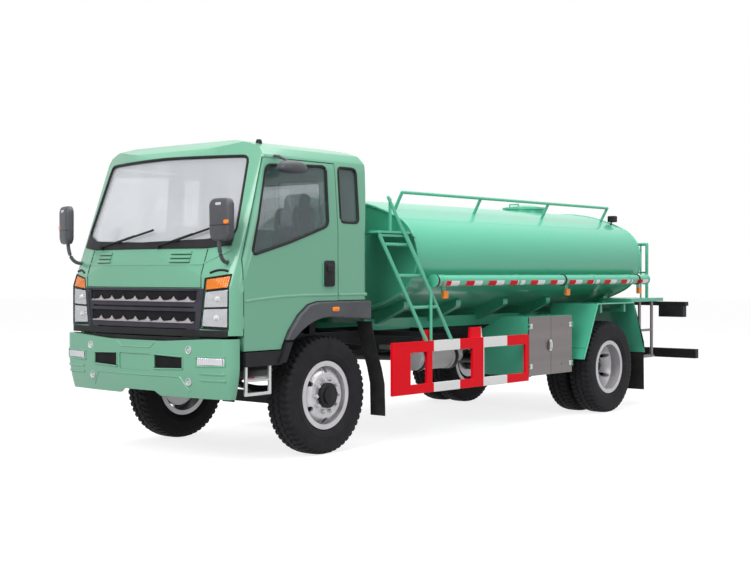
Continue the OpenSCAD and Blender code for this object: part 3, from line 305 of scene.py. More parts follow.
def tuckIn(z):
    # how far the bumper draws back at the given height
    share = (tuck["below"] - np.asarray(z, float)) / (tuck["below"] - tuck["floor"])
    return tuck["depth"] * np.clip(share, 0.0, 1.0) ** tuck["curve"]


def tuckUnder(bm):
    # the copy is cut at each level, so that it can bend there
    for level in tuck["levels"]:
        parts = bm.verts[:] + bm.edges[:] + bm.faces[:]
        bmesh.ops.bisect_plane(bm, geom=parts, plane_co=(0.0, 0.0, level), plane_no=(0.0, 0.0, 1.0))


def tuckPoints(mesh):
    # every point moves back, and in round the corners, by the tuck at its height
    co = np.empty(len(mesh.vertices) * 3)
    mesh.vertices.foreach_get("co", co)
    co = co.reshape(-1, 3)
    ahead = co[:, 0] - (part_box("front_bumper")[1].x - tuck["arcBack"])
    away = np.maximum(np.abs(co[:, 1]) - tuck["corner"], 0.0)
    turn = np.where(ahead > 0.0, np.arctan2(away, np.maximum(ahead, 1e-4)), pi / 2)
    back = tuckIn(co[:, 2])
    co[:, 0] -= back * np.cos(turn)
    co[:, 1] -= np.sign(co[:, 1]) * back * np.sin(turn)
    mesh.vertices.foreach_set("co", co.ravel())


def newPiece(name, mesh, body, nodes, smoothBelow):
    # shaded smooth up to the angle, and carried by its body
    mesh.polygons.foreach_set("use_smooth", np.ones(len(mesh.polygons), bool))
    mesh.set_sharp_from_angle(angle=radians(smoothBelow))
    piece = bpy.data.objects.new(name, mesh)
    link(piece)
    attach(piece, body)
    if nodes:
        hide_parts(*nodes)
    return piece


def dressNode(node, matName):
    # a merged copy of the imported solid: flat triangles joined, low angles smoothed, edges rounded
    mesh = frame["nodes"][node].data.copy()
    mesh.name = node + "_dressed"
    bm = welded(mesh)
    bmesh.ops.dissolve_limit(bm, angle_limit=radians(edge["flat"]), verts=bm.verts, edges=bm.edges)
    if node == "front_bumper":
        tuckUnder(bm)
    bm.to_mesh(mesh)
    bm.free()
    if node == "front_bumper":
        tuckPoints(mesh)
    mesh.materials.clear()
    mesh.materials.append(material[matName])
    for k, (other, test) in enumerate(partly.get(node, []), 1):
        mesh.materials.append(material[other])
        for face in mesh.polygons:
            if test(face.center, face.normal):
                face.material_index = k
    for layer in list(mesh.uv_layers):
        mesh.uv_layers.remove(layer)
    piece = newPiece(node + "_dressed", mesh, bodyOf[node], [node],
                     edge["rounder"].get(node, edge["smoothBelow"]))
    if matName not in edge["noBevel"]:
        bevel = piece.modifiers.new("softEdge", "BEVEL")
        bevel.width, bevel.segments = edge["wider"].get(node, edge["width"]), 2 + (node in edge["wider"])
        bevel.limit_method, bevel.angle_limit = "ANGLE", radians(edge["smoothBelow"])
        bevel.harden_normals = True
        piece.modifiers.new("evenShade", "WEIGHTED_NORMAL").keep_sharp = True


for matName, nodes in dress.items():
    for node in nodes:
        dressNode(node, matName)
print("solids dressed:", sum(map(len, dress.values())))

# numpy helpers: every new piece is a grid of points, or a few of them

frontX, rearX = joint["knuckle_left"]["pos_m"][0], joint["wheels_rear_left"]["pos_m"][0]
fromFront = np.array([frontX, 0.0, 0.0])
hands = ((1, "left"), (-1, "right"))
lensFinishes = ("tapeRed", "whitePaint", "lampSilver", "lampClear", "lampGlass", "amberLens")
usualSlot = {
    "tyreRubber": "tyre", "cabPaint": "cab_paint", "tankPaint": "paint", "chassisBlack": "chassis_black",
    "aluminium": "aluminium", "seatCloth": "seat_cloth", **dict.fromkeys(lensFinishes, "lamp_lens"),
}


def shares(count):
    return np.linspace(0.0, 1.0, count)


def spread(rows, cols):
    # two grids: one changes along the rows, the other along the columns
    return np.meshgrid(rows, cols, indexing="ij")


def xyz(x, y, z):
    # points from their coordinates, spread to one shape
    return np.stack(np.broadcast_arrays(x, y, z), -1)


def gridFaces(rows, cols, closed):
    # corners of each quad of a rows by cols grid, whose last column may meet the first
    i, j = spread(np.arange(rows - 1), np.arange(cols - (not closed)))
    nextJ = (j + 1) % cols
    corners = [i * cols + j, (i + 1) * cols + j, (i + 1) * cols + nextJ, i * cols + nextJ]
    return np.stack(corners, -1).reshape(-1, 4)


def addPiece(name, grids, matName, body, nodes=(), smoothBelow=40.0, wall=0.0):
    # a piece with a wall is an open sheet; any other grid closes round its columns
    faces, start = [], 0
    for g in grids:
        faces.append(gridFaces(g.shape[0], g.shape[1], wall == 0.0) + start)
        start += g.shape[0] * g.shape[1]
    points = np.concatenate([g.reshape(-1, 3) for g in grids])
    mesh = bpy.data.meshes.new(name)
    mesh.from_pydata(points.tolist(), [], np.concatenate(faces).tolist())
    bm = welded(mesh)
    bmesh.ops.dissolve_degenerate(bm, edges=bm.edges, dist=1e-6)
    if wall == 0.0:
        bmesh.ops.recalc_face_normals(bm, faces=bm.faces)
    bm.to_mesh(mesh)
    bm.free()
    mesh.materials.append(material[matName])
    piece = newPiece(name, mesh, body, nodes, smoothBelow)
    if wall > 0.0:
        sheet = piece.modifiers.new("wall", "SOLIDIFY")
        sheet.thickness, sheet.offset = wall, -1.0
        piece.modifiers.new("evenShade", "WEIGHTED_NORMAL").keep_sharp = True
    return piece


def mirrored(grid):
    # the same sheet on the other side, with its rows turned round so that it still faces out
    return grid[::-1] * np.array([1.0, -1.0, 1.0])


def roundedOutline(width, height, radius, steps=5):
    # corner arcs of a rectangle, joined in turn
    a = np.linspace(0.0, pi / 2, steps) + np.arange(4)[:, None] * pi / 2
    w = (width / 2 - radius) * np.array([1, -1, -1, 1])[:, None]
    h = (height / 2 - radius) * np.array([1, 1, -1, -1])[:, None]
    return np.stack([w + radius * np.cos(a), h + radius * np.sin(a)], -1).reshape(-1, 2)


def block(centre, across, up, width, height, depth, radius, ease=0.004):
    # a rounded outline carried along its depth, drawn in by ease at both ends and closed at the middle
    across, up = np.array(across, float), np.array(up, float)
    out = np.cross(across, up)
    drawn = 1.0 - 2 * ease / min(width, height)
    shrink = np.array([0.0, drawn, 1.0, 1.0, drawn, 0.0])
    along = np.array([-depth / 2, -depth / 2, -depth / 2 + ease, depth / 2 - ease, depth / 2, depth / 2])
    flat = shrink[:, None, None] * roundedOutline(width, height, radius)[None]
    return np.array(centre) + flat[..., :1] * across + flat[..., 1:] * up + along[:, None, None] * out


def revolve(profile, centre, axis, steps=48):
    # each [radius, height] point of the profile is turned once round the axis
    profile = np.array(profile, float)
    a = np.linspace(0.0, 2 * pi, steps, endpoint=False)
    one, two = [(1, 2), (2, 0), (0, 1)][axis]
    grid = np.zeros((len(profile), steps, 3))
    grid[..., one] = profile[:, :1] * np.cos(a)
    grid[..., two] = profile[:, :1] * np.sin(a)
    grid[..., axis] = profile[:, 1:]
    return grid + np.array(centre)


def hoop(inner, outer, half):
    # the section of a flat ring, for revolve
    return [[inner, -half], [outer, -half], [outer, half], [inner, half], [inner, -half]]


def tube(path, radius, sides=12, closed=False):
    # a circle carried along the path, square to it; an open tube's ends close to a point
    path = np.array(path, float)
    ahead = np.roll(path, -1, 0) - np.roll(path, 1, 0) if closed else np.gradient(path, axis=0)
    ahead /= np.linalg.norm(ahead, axis=1, keepdims=True)
    guide = np.where(np.abs(ahead[:, 2:]) > 0.9, np.array([1.0, 0.0, 0.0]), np.array([0.0, 0.0, 1.0]))
    side = np.cross(ahead, guide)
    side /= np.linalg.norm(side, axis=1, keepdims=True)
    lift = np.cross(side, ahead)
    a = np.linspace(0.0, 2 * pi, sides, endpoint=False)
    ring = path[:, None] + radius * (side[:, None] * np.cos(a)[:, None] + lift[:, None] * np.sin(a)[:, None])
    if closed:
        return np.concatenate([ring, ring[:1]])
    caps = [np.repeat(path[k][None], sides, 0)[None] for k in (0, -1)]
    return np.concatenate([caps[0], ring, caps[1]])


# tyres; the wall runs from bead to shoulder, in radius and half width

tyre = {
    "outer": 0.509, "width": 0.259, "lugDepth": 0.013, "pitches": 52, "perPitch": 8, "shoulder": 0.5,
    "lugShare": 0.6, "slant": 0.35, "zigzag": 0.05, "ribAt": 0.28, "groove": 0.055, "crownHalf": 0.1,
    "crownDrop": 0.01, "treadFrom": 0.484, "twinAt": 0.15,
    "wall": [[0.2672, 0.0945], [0.297, 0.0955], [0.309, 0.1115], [0.33, 0.1215], [0.352, 0.1262],
        [0.356, 0.1282], [0.362, 0.1262], [0.385, 0.129], [0.42, 0.1285], [0.436, 0.1268], [0.439, 0.1285],
        [0.446, 0.126], [0.468, 0.122], [0.486, 0.116], [0.498, 0.108]],
}


def tyreGrid(centre, side):
    # section: bead, sidewall bulge and tread crown; the tread radius drops where a groove runs
    wall = np.array(tyre["wall"])
    crownW = np.linspace(tyre["crownHalf"], -tyre["crownHalf"], 25)
    crown = np.stack([tyre["outer"] - tyre["crownDrop"] * (crownW / tyre["crownHalf"]) ** 4, crownW], -1)
    section = np.concatenate([wall, crown, wall[::-1] * np.array([1.0, -1.0])])
    count = tyre["pitches"] * tyre["perPitch"]
    turn = np.arange(count) / count
    w = section[:, 1:] / (tyre["width"] / 2)
    phase = (turn[None] * tyre["pitches"] + tyre["slant"] * np.abs(w) + (w < 0) * 0.5) % 1.0
    zig = tyre["zigzag"] * np.where((turn * tyre["pitches"]) % 1.0 < 0.5, 1.0, -1.0)
    lateral = (phase > tyre["lugShare"]) & (np.abs(w) > tyre["shoulder"])
    ribs = np.abs(np.abs(w + zig[None]) - tyre["ribAt"]) < tyre["groove"]
    onTread = section[:, :1] > tyre["treadFrom"]
    radius = section[:, :1] - tyre["lugDepth"] * ((lateral | ribs) & onTread)
    a = 2 * pi * turn
    grid = xyz(radius * np.cos(a), side * section[:, 1:], radius * np.sin(a))
    return np.concatenate([grid, grid[:1]]) + np.array(centre)


for side, hand in hands:
    front = joint["wheel_front_" + hand]["pos_m"]
    rear = np.array(joint["wheels_rear_" + hand]["pos_m"])
    addPiece("tyreFront_" + hand, [tyreGrid(front, side)], "tyreRubber", "wheel_front_" + hand,
             ["tyre_front_" + hand], smoothBelow=28.0)
    twins = [tyreGrid(rear + np.array([0.0, dy, 0.0]), side) for dy in (-tyre["twinAt"], tyre["twinAt"])]
    addPiece("tyresRear_" + hand, twins, "tyreRubber", "wheels_rear_" + hand, ["tyres_rear_" + hand],
             smoothBelow=28.0)
print("tyres made")

# reflecting tape along the hose tubes

tape = {
    "y": 1.15, "z": 1.48, "radius": 0.0562, "from": 1.34, "to": -2.41, "pairs": 11, "length": 0.132,
    "low": -58.0, "high": 0.0,
}


def tapeGrid(x0, x1, side):
    # part of a cylinder round the tube, between two angles below the horizontal
    a = np.radians(np.linspace(tape["low"], tape["high"], 9))
    grid = xyz(np.linspace(x0, x1, 3)[:, None], side * (tape["y"] + tape["radius"] * np.cos(a)),
               tape["z"] + tape["radius"] * np.sin(a))
    return grid if side > 0 else grid[::-1]


tapeStarts = np.linspace(tape["from"], tape["to"], tape["pairs"])
for name, matName, shift in (("tapeRed", "tapeRed", 0.0), ("tapeWhite", "whitePaint", -tape["length"])):
    strips = [tapeGrid(x + shift, x + shift - tape["length"], s) for x in tapeStarts for s in (1, -1)]
    addPiece(name, strips, matName, "chassis", wall=0.001)
print("tape laid")

# black rubber round each window, along the rim of its glass

seal = {
    "radius": 0.013, "push": 0.007, "facing": 0.35, "fewest": 8, "rearPane": -0.48, "sidePane": 0.3,
    "screenWay": (0.94, 0.0, 0.34),
}


def glassRims(node, outward):
    # the edges that only one outer face uses, walked round in turn, for each pane of the node
    bm = welded(frame["nodes"][node].data)
    bm.normal_update()
    outer = {f for f in bm.faces if f.normal.dot(Vector(outward(f.calc_center_median()))) > seal["facing"]}
    links = {}
    for e in bm.edges:
        if sum(f in outer for f in e.link_faces) == 1:
            links.setdefault(e.verts[0], []).append(e.verts[1])
            links.setdefault(e.verts[1], []).append(e.verts[0])
    rims = []
    while links:
        here = next(iter(links))
        rim = [here]
        while links.get(here):
            step = links[here].pop()
            links[step].remove(here)
            here = step
            rim.append(here)
        links = {v: n for v, n in links.items() if n}
        rims.append(np.array([v.co for v in rim[:-1]]) + seal["push"] * np.array(outward(Vector(rim[0].co))))
    bm.free()
    return [r for r in rims if len(r) > seal["fewest"]]


def paneSide(c):
    # the way that a cab pane faces: back, out to its side, or ahead and a little up
    if c.x < frontX + seal["rearPane"]:
        return (-1.0, 0.0, 0.0)
    return (0.0, copysign(1.0, c.y), 0.0) if c.x < frontX + seal["sidePane"] else seal["screenWay"]


def sealPiece(name, node, outward, body):
    addPiece(name, [tube(r, seal["radius"], 8, True) for r in glassRims(node, outward)], "blackPlastic", body)


sealPiece("sealsCab", "cab_glass", paneSide, "cab")
for side, hand in hands:
    sealPiece("sealDoor_" + hand, "glass_" + hand, lambda c: (0.0, side, 0.0), "door_" + hand)
print("window seals made")

# the cab's front surface, so that trim can lie on it; the bumper's plan is front, half width and corner

cabForm = {
    "front": 1.215, "bow": 6.5, "corner": 0.13, "half": 1.04, "sideZ": (1.055, 1.4, 1.64, 1.76),
    "sideX": (1.205, 1.215, 1.2, 1.187), "screenFoot": (1.185, 1.76), "lean": 20.0, "screenBow": 3.1,
    "screenHalf": 1.035, "screenCorner": 0.11, "overlap": 0.004, "bumper": (1.25, 1.045, 0.11),
}


def planX(y, front, half, corner, bow):
    # a wide bow that turns into a corner arc at each side
    y = np.abs(np.asarray(y, float))
    tilt = asin((half - corner) / (bow - corner))
    middle = front - bow + (bow - corner) * cos(tilt)
    wide = front - bow + np.sqrt(bow ** 2 - y ** 2)
    tight = middle + np.sqrt(np.clip(corner ** 2 - (y - half + corner) ** 2, 0.0, None))
    return np.where(y < bow * sin(tilt), wide, tight)


def cabX(y, z):
    # the nearest of the side outline, the plan outline and the leaning screen's outline
    f = cabForm
    y, z = np.broadcast_arrays(np.asarray(y, float), np.asarray(z, float))
    low = np.minimum(np.interp(z, f["sideZ"], f["sideX"]),
                     planX(y, f["front"], f["half"], f["corner"], f["bow"]))
    low = np.where(z > f["sideZ"][-1] + f["overlap"], np.inf, low)
    lean = radians(f["lean"])
    high = (f["screenFoot"][0] - tan(lean) * (z - f["screenFoot"][1])
            + planX(y, 0.0, f["screenHalf"], f["screenCorner"], f["screenBow"]) / cos(lean))
    return frontX + np.minimum(high, low)


def bumperX(y):
    return frontX + planX(y, *cabForm["bumper"], cabForm["bow"])


def onBumper(y, z):
    return bumperX(y) - tuckIn(z)


def beadOn(surface, y, z, radius, out=0.0, sides=8):
    # a thin bead carried along a line that lies on the surface
    return tube(xyz(surface(y, z) + out, y, z), radius, sides)


def corners(points, steps=10):
    # straight runs between the points, evenly divided
    points = np.array(points, float)
    t = np.linspace(0.0, len(points) - 1.0, (len(points) - 1) * steps + 1)
    return [np.interp(t, np.arange(len(points)), points[:, k]) for k in range(points.shape[1])]


# cowl under the screen

cowl = {
    "half": 0.925, "low": 1.752, "riseFrom": 0.7, "rise": 0.1, "edgeY": (0.0, 0.7, 0.93),
    "edgeZ": (1.806, 1.826, 1.892), "out": 0.005,
}
y = np.linspace(-cowl["half"], cowl["half"], 61)
lowZ = cowl["low"] + cowl["rise"] * np.clip(np.abs(y) - cowl["riseFrom"], 0.0, None)
z = lowZ + shares(7)[:, None] * (np.interp(np.abs(y), cowl["edgeY"], cowl["edgeZ"]) - lowZ)
addPiece("cowl", [xyz(cabX(y, z) + cowl["out"], y, z)], "blackPlastic", "cab", wall=0.004)

# creases, seams and louvres of the front panel

crease = {
    "panel": [(-0.93, 1.735), (-0.7, 1.622), (0.7, 1.622), (0.93, 1.735)], "radius": 0.008, "sink": 0.003,
    "seamY": 0.722, "seamZ": (1.435, 1.745), "footHalf": 0.73, "footZ": 1.434, "seam": 0.0035,
}
py, pz = corners(crease["panel"], 16)
addPiece("panelCrease", [beadOn(cabX, py, pz, crease["radius"], -crease["sink"])], "cabPaint", "cab")
seams = [beadOn(cabX, s * crease["seamY"], np.linspace(*crease["seamZ"], 9), crease["seam"]) for s in (1, -1)]
foot = np.linspace(-crease["footHalf"], crease["footHalf"], 21)
seams.append(beadOn(cabX, foot, crease["footZ"], crease["seam"]))
addPiece("panelSeams", seams, "blackPlastic", "cab")

louvre = {
    "y": 0.48, "half": 0.104, "z": 1.682, "step": 0.033, "slat": 0.0125, "gap": 0.0036, "below": 0.013,
    "out": 0.001,
}
slats, gapShades = [], []
for s in (1, -1):
    for k in (-1, 0, 1):
        ly = np.linspace(s * louvre["y"] - louvre["half"], s * louvre["y"] + louvre["half"], 9)
        lz = louvre["z"] + k * louvre["step"]
        slats.append(beadOn(cabX, ly, lz, louvre["slat"], louvre["out"]))
        # a black bead under each slat is painted shade in the louvre's recess
        gapShades.append(beadOn(cabX, ly, lz - louvre["below"], louvre["gap"], -louvre["out"]))
addPiece("louvreSlats", slats, "cabPaint", "cab")
addPiece("louvreGaps", gapShades, "blackPlastic", "cab")

# raised line along the doors and the sides of the cab

belt = {
    "y": 1.0395, "z": 1.366, "drop": 0.04, "dropFrom": 0.25, "dropOver": 0.75, "height": 0.03, "out": 0.007,
    "door": (-0.11, 0.995), "cab": (-0.5, -0.128),
}


def beltGrid(ends, side):
    # a half-wave ridge along the side, lower towards the front
    x, u = np.linspace(*ends, 41), shares(9)
    z = belt["z"] - belt["drop"] * np.clip((x - belt["dropFrom"]) / belt["dropOver"], 0.0, 1.0) ** 2
    out = belt["out"] * np.sin(pi * u) ** 2 * (1.0 - 0.3 * u)
    grid = xyz(frontX + x[:, None], side * (belt["y"] + out), z[:, None] + belt["height"] * (u - 0.5))
    return grid[::-1] if side > 0 else grid


for side, hand in hands:
    addPiece("beltDoor_" + hand, [beltGrid(belt["door"], side)], "cabPaint", "door_" + hand, wall=0.002)
    addPiece("beltCab_" + hand, [beltGrid(belt["cab"], side)], "cabPaint", "cab", wall=0.002)
print("cab trim laid")

# door handles: plate and grip are width, height, depth, corner and eased edge

handle = {
    "place": (0.006, 1.053, 1.548), "plate": (0.138, 0.222, 0.01, 0.022, 0.004),
    "grip": (0.085, 0.06, 0.02, 0.014, 0.006), "gripOut": 0.014, "gripUp": 0.045,
}
for side, hand in hands:
    across, up = (-side, 0, 0), (0, 0, 1)
    place = fromFront + np.array(handle["place"]) * np.array([1.0, side, 1.0])
    gripAt = place + np.array([0.0, side * handle["gripOut"], handle["gripUp"]])
    addPiece("handle_" + hand, [block(place, across, up, *handle["plate"]),
                                block(gripAt, across, up, *handle["grip"])], "blackPlastic", "door_" + hand)

# mirrors; the rows of a form give its share of the outline and how far ahead it stands

mirror = {
    "x": 1.2075, "y": 0.988, "z": 1.9725, "width": 0.236, "height": 0.334, "radius": 0.058,
    "turn": {1: 0.0, -1: 20.0}, "taper": (0.98, 0.05), "split": -0.045, "splitHalf": 0.116,
    "splitLine": 0.0028,
    "shell": [(0.0, -0.04), (0.88, -0.04), (0.93, -0.0385), (0.985, -0.032), (1.0, -0.02), (1.0, 0.0),
        (0.985, 0.012), (0.95, 0.021), (0.88, 0.0265), (0.75, 0.03), (0.5, 0.0325), (0.0, 0.034)],
    "face": ((0.0, 0.0), 0.205, 0.295, 0.045,
        [(0.0, -0.0425), (0.98, -0.0425), (1.0, -0.0395), (0.0, -0.0395)]),
    "patch": ((0.0, 0.122), 0.066, 0.022, 0.008, [(0.0, 0.033), (0.95, 0.033), (1.0, 0.028), (0.0, 0.028)]),
    "repeater": ((0.084, -0.02), 0.052, 0.032, 0.012,
        [(0.0, 0.0335), (0.92, 0.0325), (1.0, 0.024), (0.0, 0.024)]),
    "arm": 0.016, "armEnds": [[1.205, 0.96, 1.86], [1.207, 0.962, 1.625], [1.075, 0.925, 1.64]],
}


def headPlace(out, ahead, up, side):
    # points given outward, ahead and up from the head's middle, turned about its upright line
    a = radians(mirror["turn"][side])
    return xyz(frontX + mirror["x"] + ahead * cos(a) - out * sin(a),
               side * (mirror["y"] + ahead * sin(a) + out * cos(a)), mirror["z"] + up)


def headGrid(middle, width, height, radius, rows, side):
    # a rounded outline, narrower towards its foot, drawn in and moved ahead row by row
    line, rows = roundedOutline(width, height, radius, 7), np.array(rows)
    across = line[:, 0] * (mirror["taper"][0] + mirror["taper"][1] * line[:, 1] / height)
    share, ahead = rows[:, :1], rows[:, 1:]
    return headPlace(middle[0] + share * across, ahead, middle[1] + share * line[:, 1], side)


def crownAhead(out, up):
    # how far ahead the shell's front stands, by the share of its half width or height, whichever is more
    share = np.maximum(np.abs(out) * 2 / mirror["width"], np.abs(up) * 2 / mirror["height"])
    rows = np.array(mirror["shell"][5:])[::-1]
    return np.interp(share, rows[:, 0], rows[:, 1])


bend, armEnds = shares(21)[:, None], np.array(mirror["armEnds"])
armBend = (1 - bend) ** 2 * armEnds[0] + 2 * bend * (1 - bend) * armEnds[1] + bend ** 2 * armEnds[2]
heads, partings = [], []
for s in (1, -1):
    heads.append(headGrid((0.0, 0.0), mirror["width"], mirror["height"], mirror["radius"], mirror["shell"],
                          s))
    heads.append(tube(armBend * np.array([1.0, s, 1.0]) + fromFront, mirror["arm"], 14))
    across = np.linspace(-mirror["splitHalf"], mirror["splitHalf"], 25)
    ahead = crownAhead(across, mirror["split"])
    partings.append(tube(headPlace(across, ahead, mirror["split"], s), mirror["splitLine"], 6))
addPiece("mirrorHeads", heads, "flareGrey", "cab", ["mirrors"], smoothBelow=50.0)
addPiece("mirrorFaces", [headGrid(*mirror["face"], s) for s in (1, -1)], "mirrorFace", "cab")
addPiece("mirrorPatches", [headGrid(*mirror["patch"], s) for s in (1, -1)], "lampSilver", "cab")
addPiece("mirrorPartings", partings, "chassisBlack", "cab")

# amber repeaters on the mirrors and over the wheels, and the knob on the roof

repeater = {"x": -0.05, "y": 1.078, "z": 1.245, "size": (0.085, 0.038, 0.014, 0.012)}
repeaters = [headGrid(*mirror["repeater"], s) for s in (1, -1)]
repeaters += [block((frontX + repeater["x"], s * repeater["y"], repeater["z"]), (-s, 0, 0), (0, 0, 1),
                    *repeater["size"]) for s in (1, -1)]
addPiece("amberRepeaters", repeaters, "amberLens", "cab")
knob = {
    "place": (0.6, 0.8, 2.64),
    "profile": [[0.0, 0.022], [0.02, 0.018], [0.026, 0.0], [0.028, -0.02], [0.0, -0.02]],
}
addPiece("roofKnob", [revolve(knob["profile"], fromFront + np.array(knob["place"]), 2, 24)], "blackPlastic",
         "cab")

# headlamps: a dark case, two mirrored tiers and an amber one, behind a clear cover

lampForm = {
    "low": ((0.71, 1.11), (0.984, 1.102)), "high": ((0.765, 1.51), (0.986, 1.543)),
    "tiers": [("lampSilver", 0.05, 0.38, 0.02), ("lampSilver", 0.42, 0.72, 0.022),
        ("amberLens", 0.77, 0.97, 0.004)],
    "case": 0.031, "cover": 0.002, "sink": 0.008, "margin": 0.05, "flutes": 9, "fluteDepth": 0.0014,
    "edge": 0.0045,
    "bulb": [[0.0, 0.024], [0.014, 0.02], [0.02, 0.01], [0.022, 0.0], [0.03, -0.001], [0.0, -0.002]],
}


def lampGrid(side, u, v, depth):
    # the four corners of the lamp mixed by u across and v upwards, laid on the cab and sunk by the depth
    (y0, z0), (y1, z1) = lampForm["low"]
    (y2, z2), (y3, z3) = lampForm["high"]
    y = (1 - v) * ((1 - u) * y0 + u * y1) + v * ((1 - u) * y2 + u * y3)
    z = (1 - v) * ((1 - u) * z0 + u * z1) + v * ((1 - u) * z2 + u * z3)
    grid = xyz(cabX(y, z) - depth, side * y, z)
    return grid if side > 0 else grid[::-1]


u, v = spread(shares(33), shares(33))
addPiece("lampCases", [lampGrid(s, u, v, lampForm["case"]) for s in (1, -1)], "chassisBlack", "cab",
         ["headlamps"], wall=0.002)
addPiece("lampCovers", [lampGrid(s, u, v, lampForm["cover"]) for s in (1, -1)], "lampGlass", "cab",
         wall=0.002)
bulbs = []
for k, (matName, low, high, dish) in enumerate(lampForm["tiers"]):
    uu, vv = lampForm["margin"] + (1.0 - 2 * lampForm["margin"]) * u, low + (high - low) * v
    bowl = (1 - (2 * u - 1) ** 2) * (1 - (2 * v - 1) ** 2)  # deepest in the middle of the tier
    flute = lampForm["fluteDepth"] * np.sin(2 * pi * u * lampForm["flutes"]) * (matName == "amberLens")
    tier = [lampGrid(s, uu, vv, lampForm["sink"] + dish * bowl + flute) for s in (1, -1)]
    addPiece("lampTier" + str(k), tier, matName, "cab", wall=0.0015)
    if matName == "lampSilver":
        middle = np.full((1, 1), (low + high) / 2)
        spots = [lampGrid(s, np.full((1, 1), 0.5), middle, lampForm["sink"] + dish)[0, 0] for s in (1, -1)]
        bulbs += [revolve(lampForm["bulb"], spot, 0, 24) for spot in spots]
addPiece("lampBulbs", bulbs, "lampClear", "cab")

brow = {"y": 0.8, "length": 0.155, "z": 1.553, "arch": 0.016, "rise": 0.014, "out": 0.001, "radius": 0.0095}
a = shares(15)
by, bz = brow["y"] + brow["length"] * a, brow["z"] + brow["arch"] * np.sin(pi * a) + brow["rise"] * a
darkLines = []
for s in (1, -1):
    g = lampGrid(1, u, v, 0.0) * np.array([1.0, s, 1.0])
    loop = np.concatenate([g[:, 0], g[-1, 1:], g[-2::-1, -1], g[0, -2:0:-1]])  # once round the lamp
    darkLines.append(tube(loop, lampForm["edge"], 8, True))
    darkLines.append(tube(xyz(cabX(by, bz) + brow["out"], s * by, bz), brow["radius"], 8))
addPiece("lampEdges", darkLines, "blackPlastic", "cab")

# bumper trim: mesh, bolt caps, slots and raised lines

bumper = {
    "meshY": (0.245, 0.552), "meshZ": (0.778, 0.884), "pitch": 0.0145, "wire": 0.0026, "meshBack": 0.01,
    "backY": (0.225, 0.57), "backZ": (0.762, 0.898), "back": 0.019,
    "frames": [[(0.235, 0.77), (0.56, 0.78), (0.56, 0.88), (0.235, 0.89)],
        [(0.7, 0.806), (0.99, 0.816), (0.99, 0.89), (0.7, 0.882)]],
    "frame": 0.0075, "frameOut": 0.0005, "caps": [(0.621, 0.936), (0.608, 0.68)], "capOut": 0.001,
    "cap": [[0.0, 0.004], [0.01, 0.004], [0.014, -0.002], [0.022, -0.002], [0.027, 0.006], [0.033, 0.004],
        [0.035, -0.004], [0.0, -0.006]],
    "slots": [0.752, 0.7], "slotY": (0.735, 0.985), "slot": 0.012, "slotSink": 0.004,
    "lines": [[(-0.235, 0.99), (-0.185, 0.945), (0.185, 0.945), (0.235, 0.99)],
        [(-0.6, 0.6), (-0.52, 0.716), (0.52, 0.716), (0.6, 0.6)]],
    "line": 0.009, "lineSink": 0.003,
}


def wires(surface, y0, y1, z0, z1, pitch, wire, back):
    # two crossing sets of thin wires along the opening's diagonals; scraps in its corners are left out
    rows = []
    for run in (z1 - z0, z0 - z1):
        for c in np.arange(y0 - (z1 - z0), y1 + (z1 - z0), pitch):
            u = np.sort(np.clip((np.array([y0, y1]) - c) / run, 0.0, 1.0))
            if u[1] - u[0] > 0.02:
                yy = c + u * run
                rows.append(tube(xyz(surface(yy) - back, yy, z0 + u * (z1 - z0)), wire, 5))
    return rows


net = []
for y0, y1 in (bumper["meshY"], tuple(-v for v in bumper["meshY"][::-1])):
    net += wires(bumperX, y0, y1, *bumper["meshZ"], bumper["pitch"], bumper["wire"], bumper["meshBack"])
addPiece("bumperMesh", net, "blackPlastic", "chassis")
# black sheets behind the mesh openings: painted shade for the bumper's shadowed inside
yy, zz = spread(np.linspace(*bumper["backY"], 9), np.linspace(*bumper["backZ"], 3))
shadeSheet = xyz(bumperX(yy) - bumper["back"], yy, zz)[::-1]
addPiece("bumperBacks", [shadeSheet, mirrored(shadeSheet)], "chassisBlack", "chassis", wall=0.002)
frames = []
for ring in bumper["frames"]:
    fy, fz = [line[:-1] for line in corners(ring + ring[:1], 8)]
    frames += [tube(xyz(bumperX(fy) + bumper["frameOut"], s * fy, fz), bumper["frame"], 8, True)
               for s in (1, -1)]
addPiece("bumperFrames", frames, "cabPaint", "chassis")
caps = [revolve(bumper["cap"], (onBumper(cy, cz) + bumper["capOut"], s * cy, cz), 0, 32)
        for cy, cz in bumper["caps"] for s in (1, -1)]
addPiece("bumperCaps", caps, "aluminium", "chassis")
lines = [beadOn(onBumper, np.linspace(*bumper["slotY"], 15) * s, sz, bumper["slot"], -bumper["slotSink"])
         for sz in bumper["slots"] for s in (1, -1)]
for path in bumper["lines"]:
    ly, lz = corners(path, 14)
    lines.append(beadOn(onBumper, ly, lz, bumper["line"], -bumper["lineSink"]))
addPiece("bumperLines", lines, "cabPaint", "chassis")

fog = {"y": (0.722, 0.972), "z": (0.823, 0.876), "flutes": 13, "ripple": 0.0016, "out": 0.0035}
fy, fz = spread(np.linspace(*fog["y"], 105), np.linspace(*fog["z"], 9))
ripple = fog["ripple"] * np.cos(2 * pi * fog["flutes"] * shares(105))[:, None]  # upright flutes in the lens
lens = xyz(bumperX(fy) + fog["out"] + ripple, fy, fz)
addPiece("fogLenses", [lens, mirrored(lens)], "lampSilver", "chassis", wall=0.002)

# grille mesh behind the openings

grilleMesh = {
    "y": (-0.645, 0.645), "rows": [(1.152, 1.24), (1.322, 1.406)], "planZ": 1.25, "pitch": 0.017,
    "wire": 0.003, "back": 0.02,
}
net = []
for row in grilleMesh["rows"]:
    net += wires(lambda v: cabX(v, grilleMesh["planZ"]), *grilleMesh["y"], *row, grilleMesh["pitch"],
                 grilleMesh["wire"], grilleMesh["back"])
addPiece("grilleMesh", net, "blackPlastic", "cab")
print("front trim laid")

# bands on the air cleaner

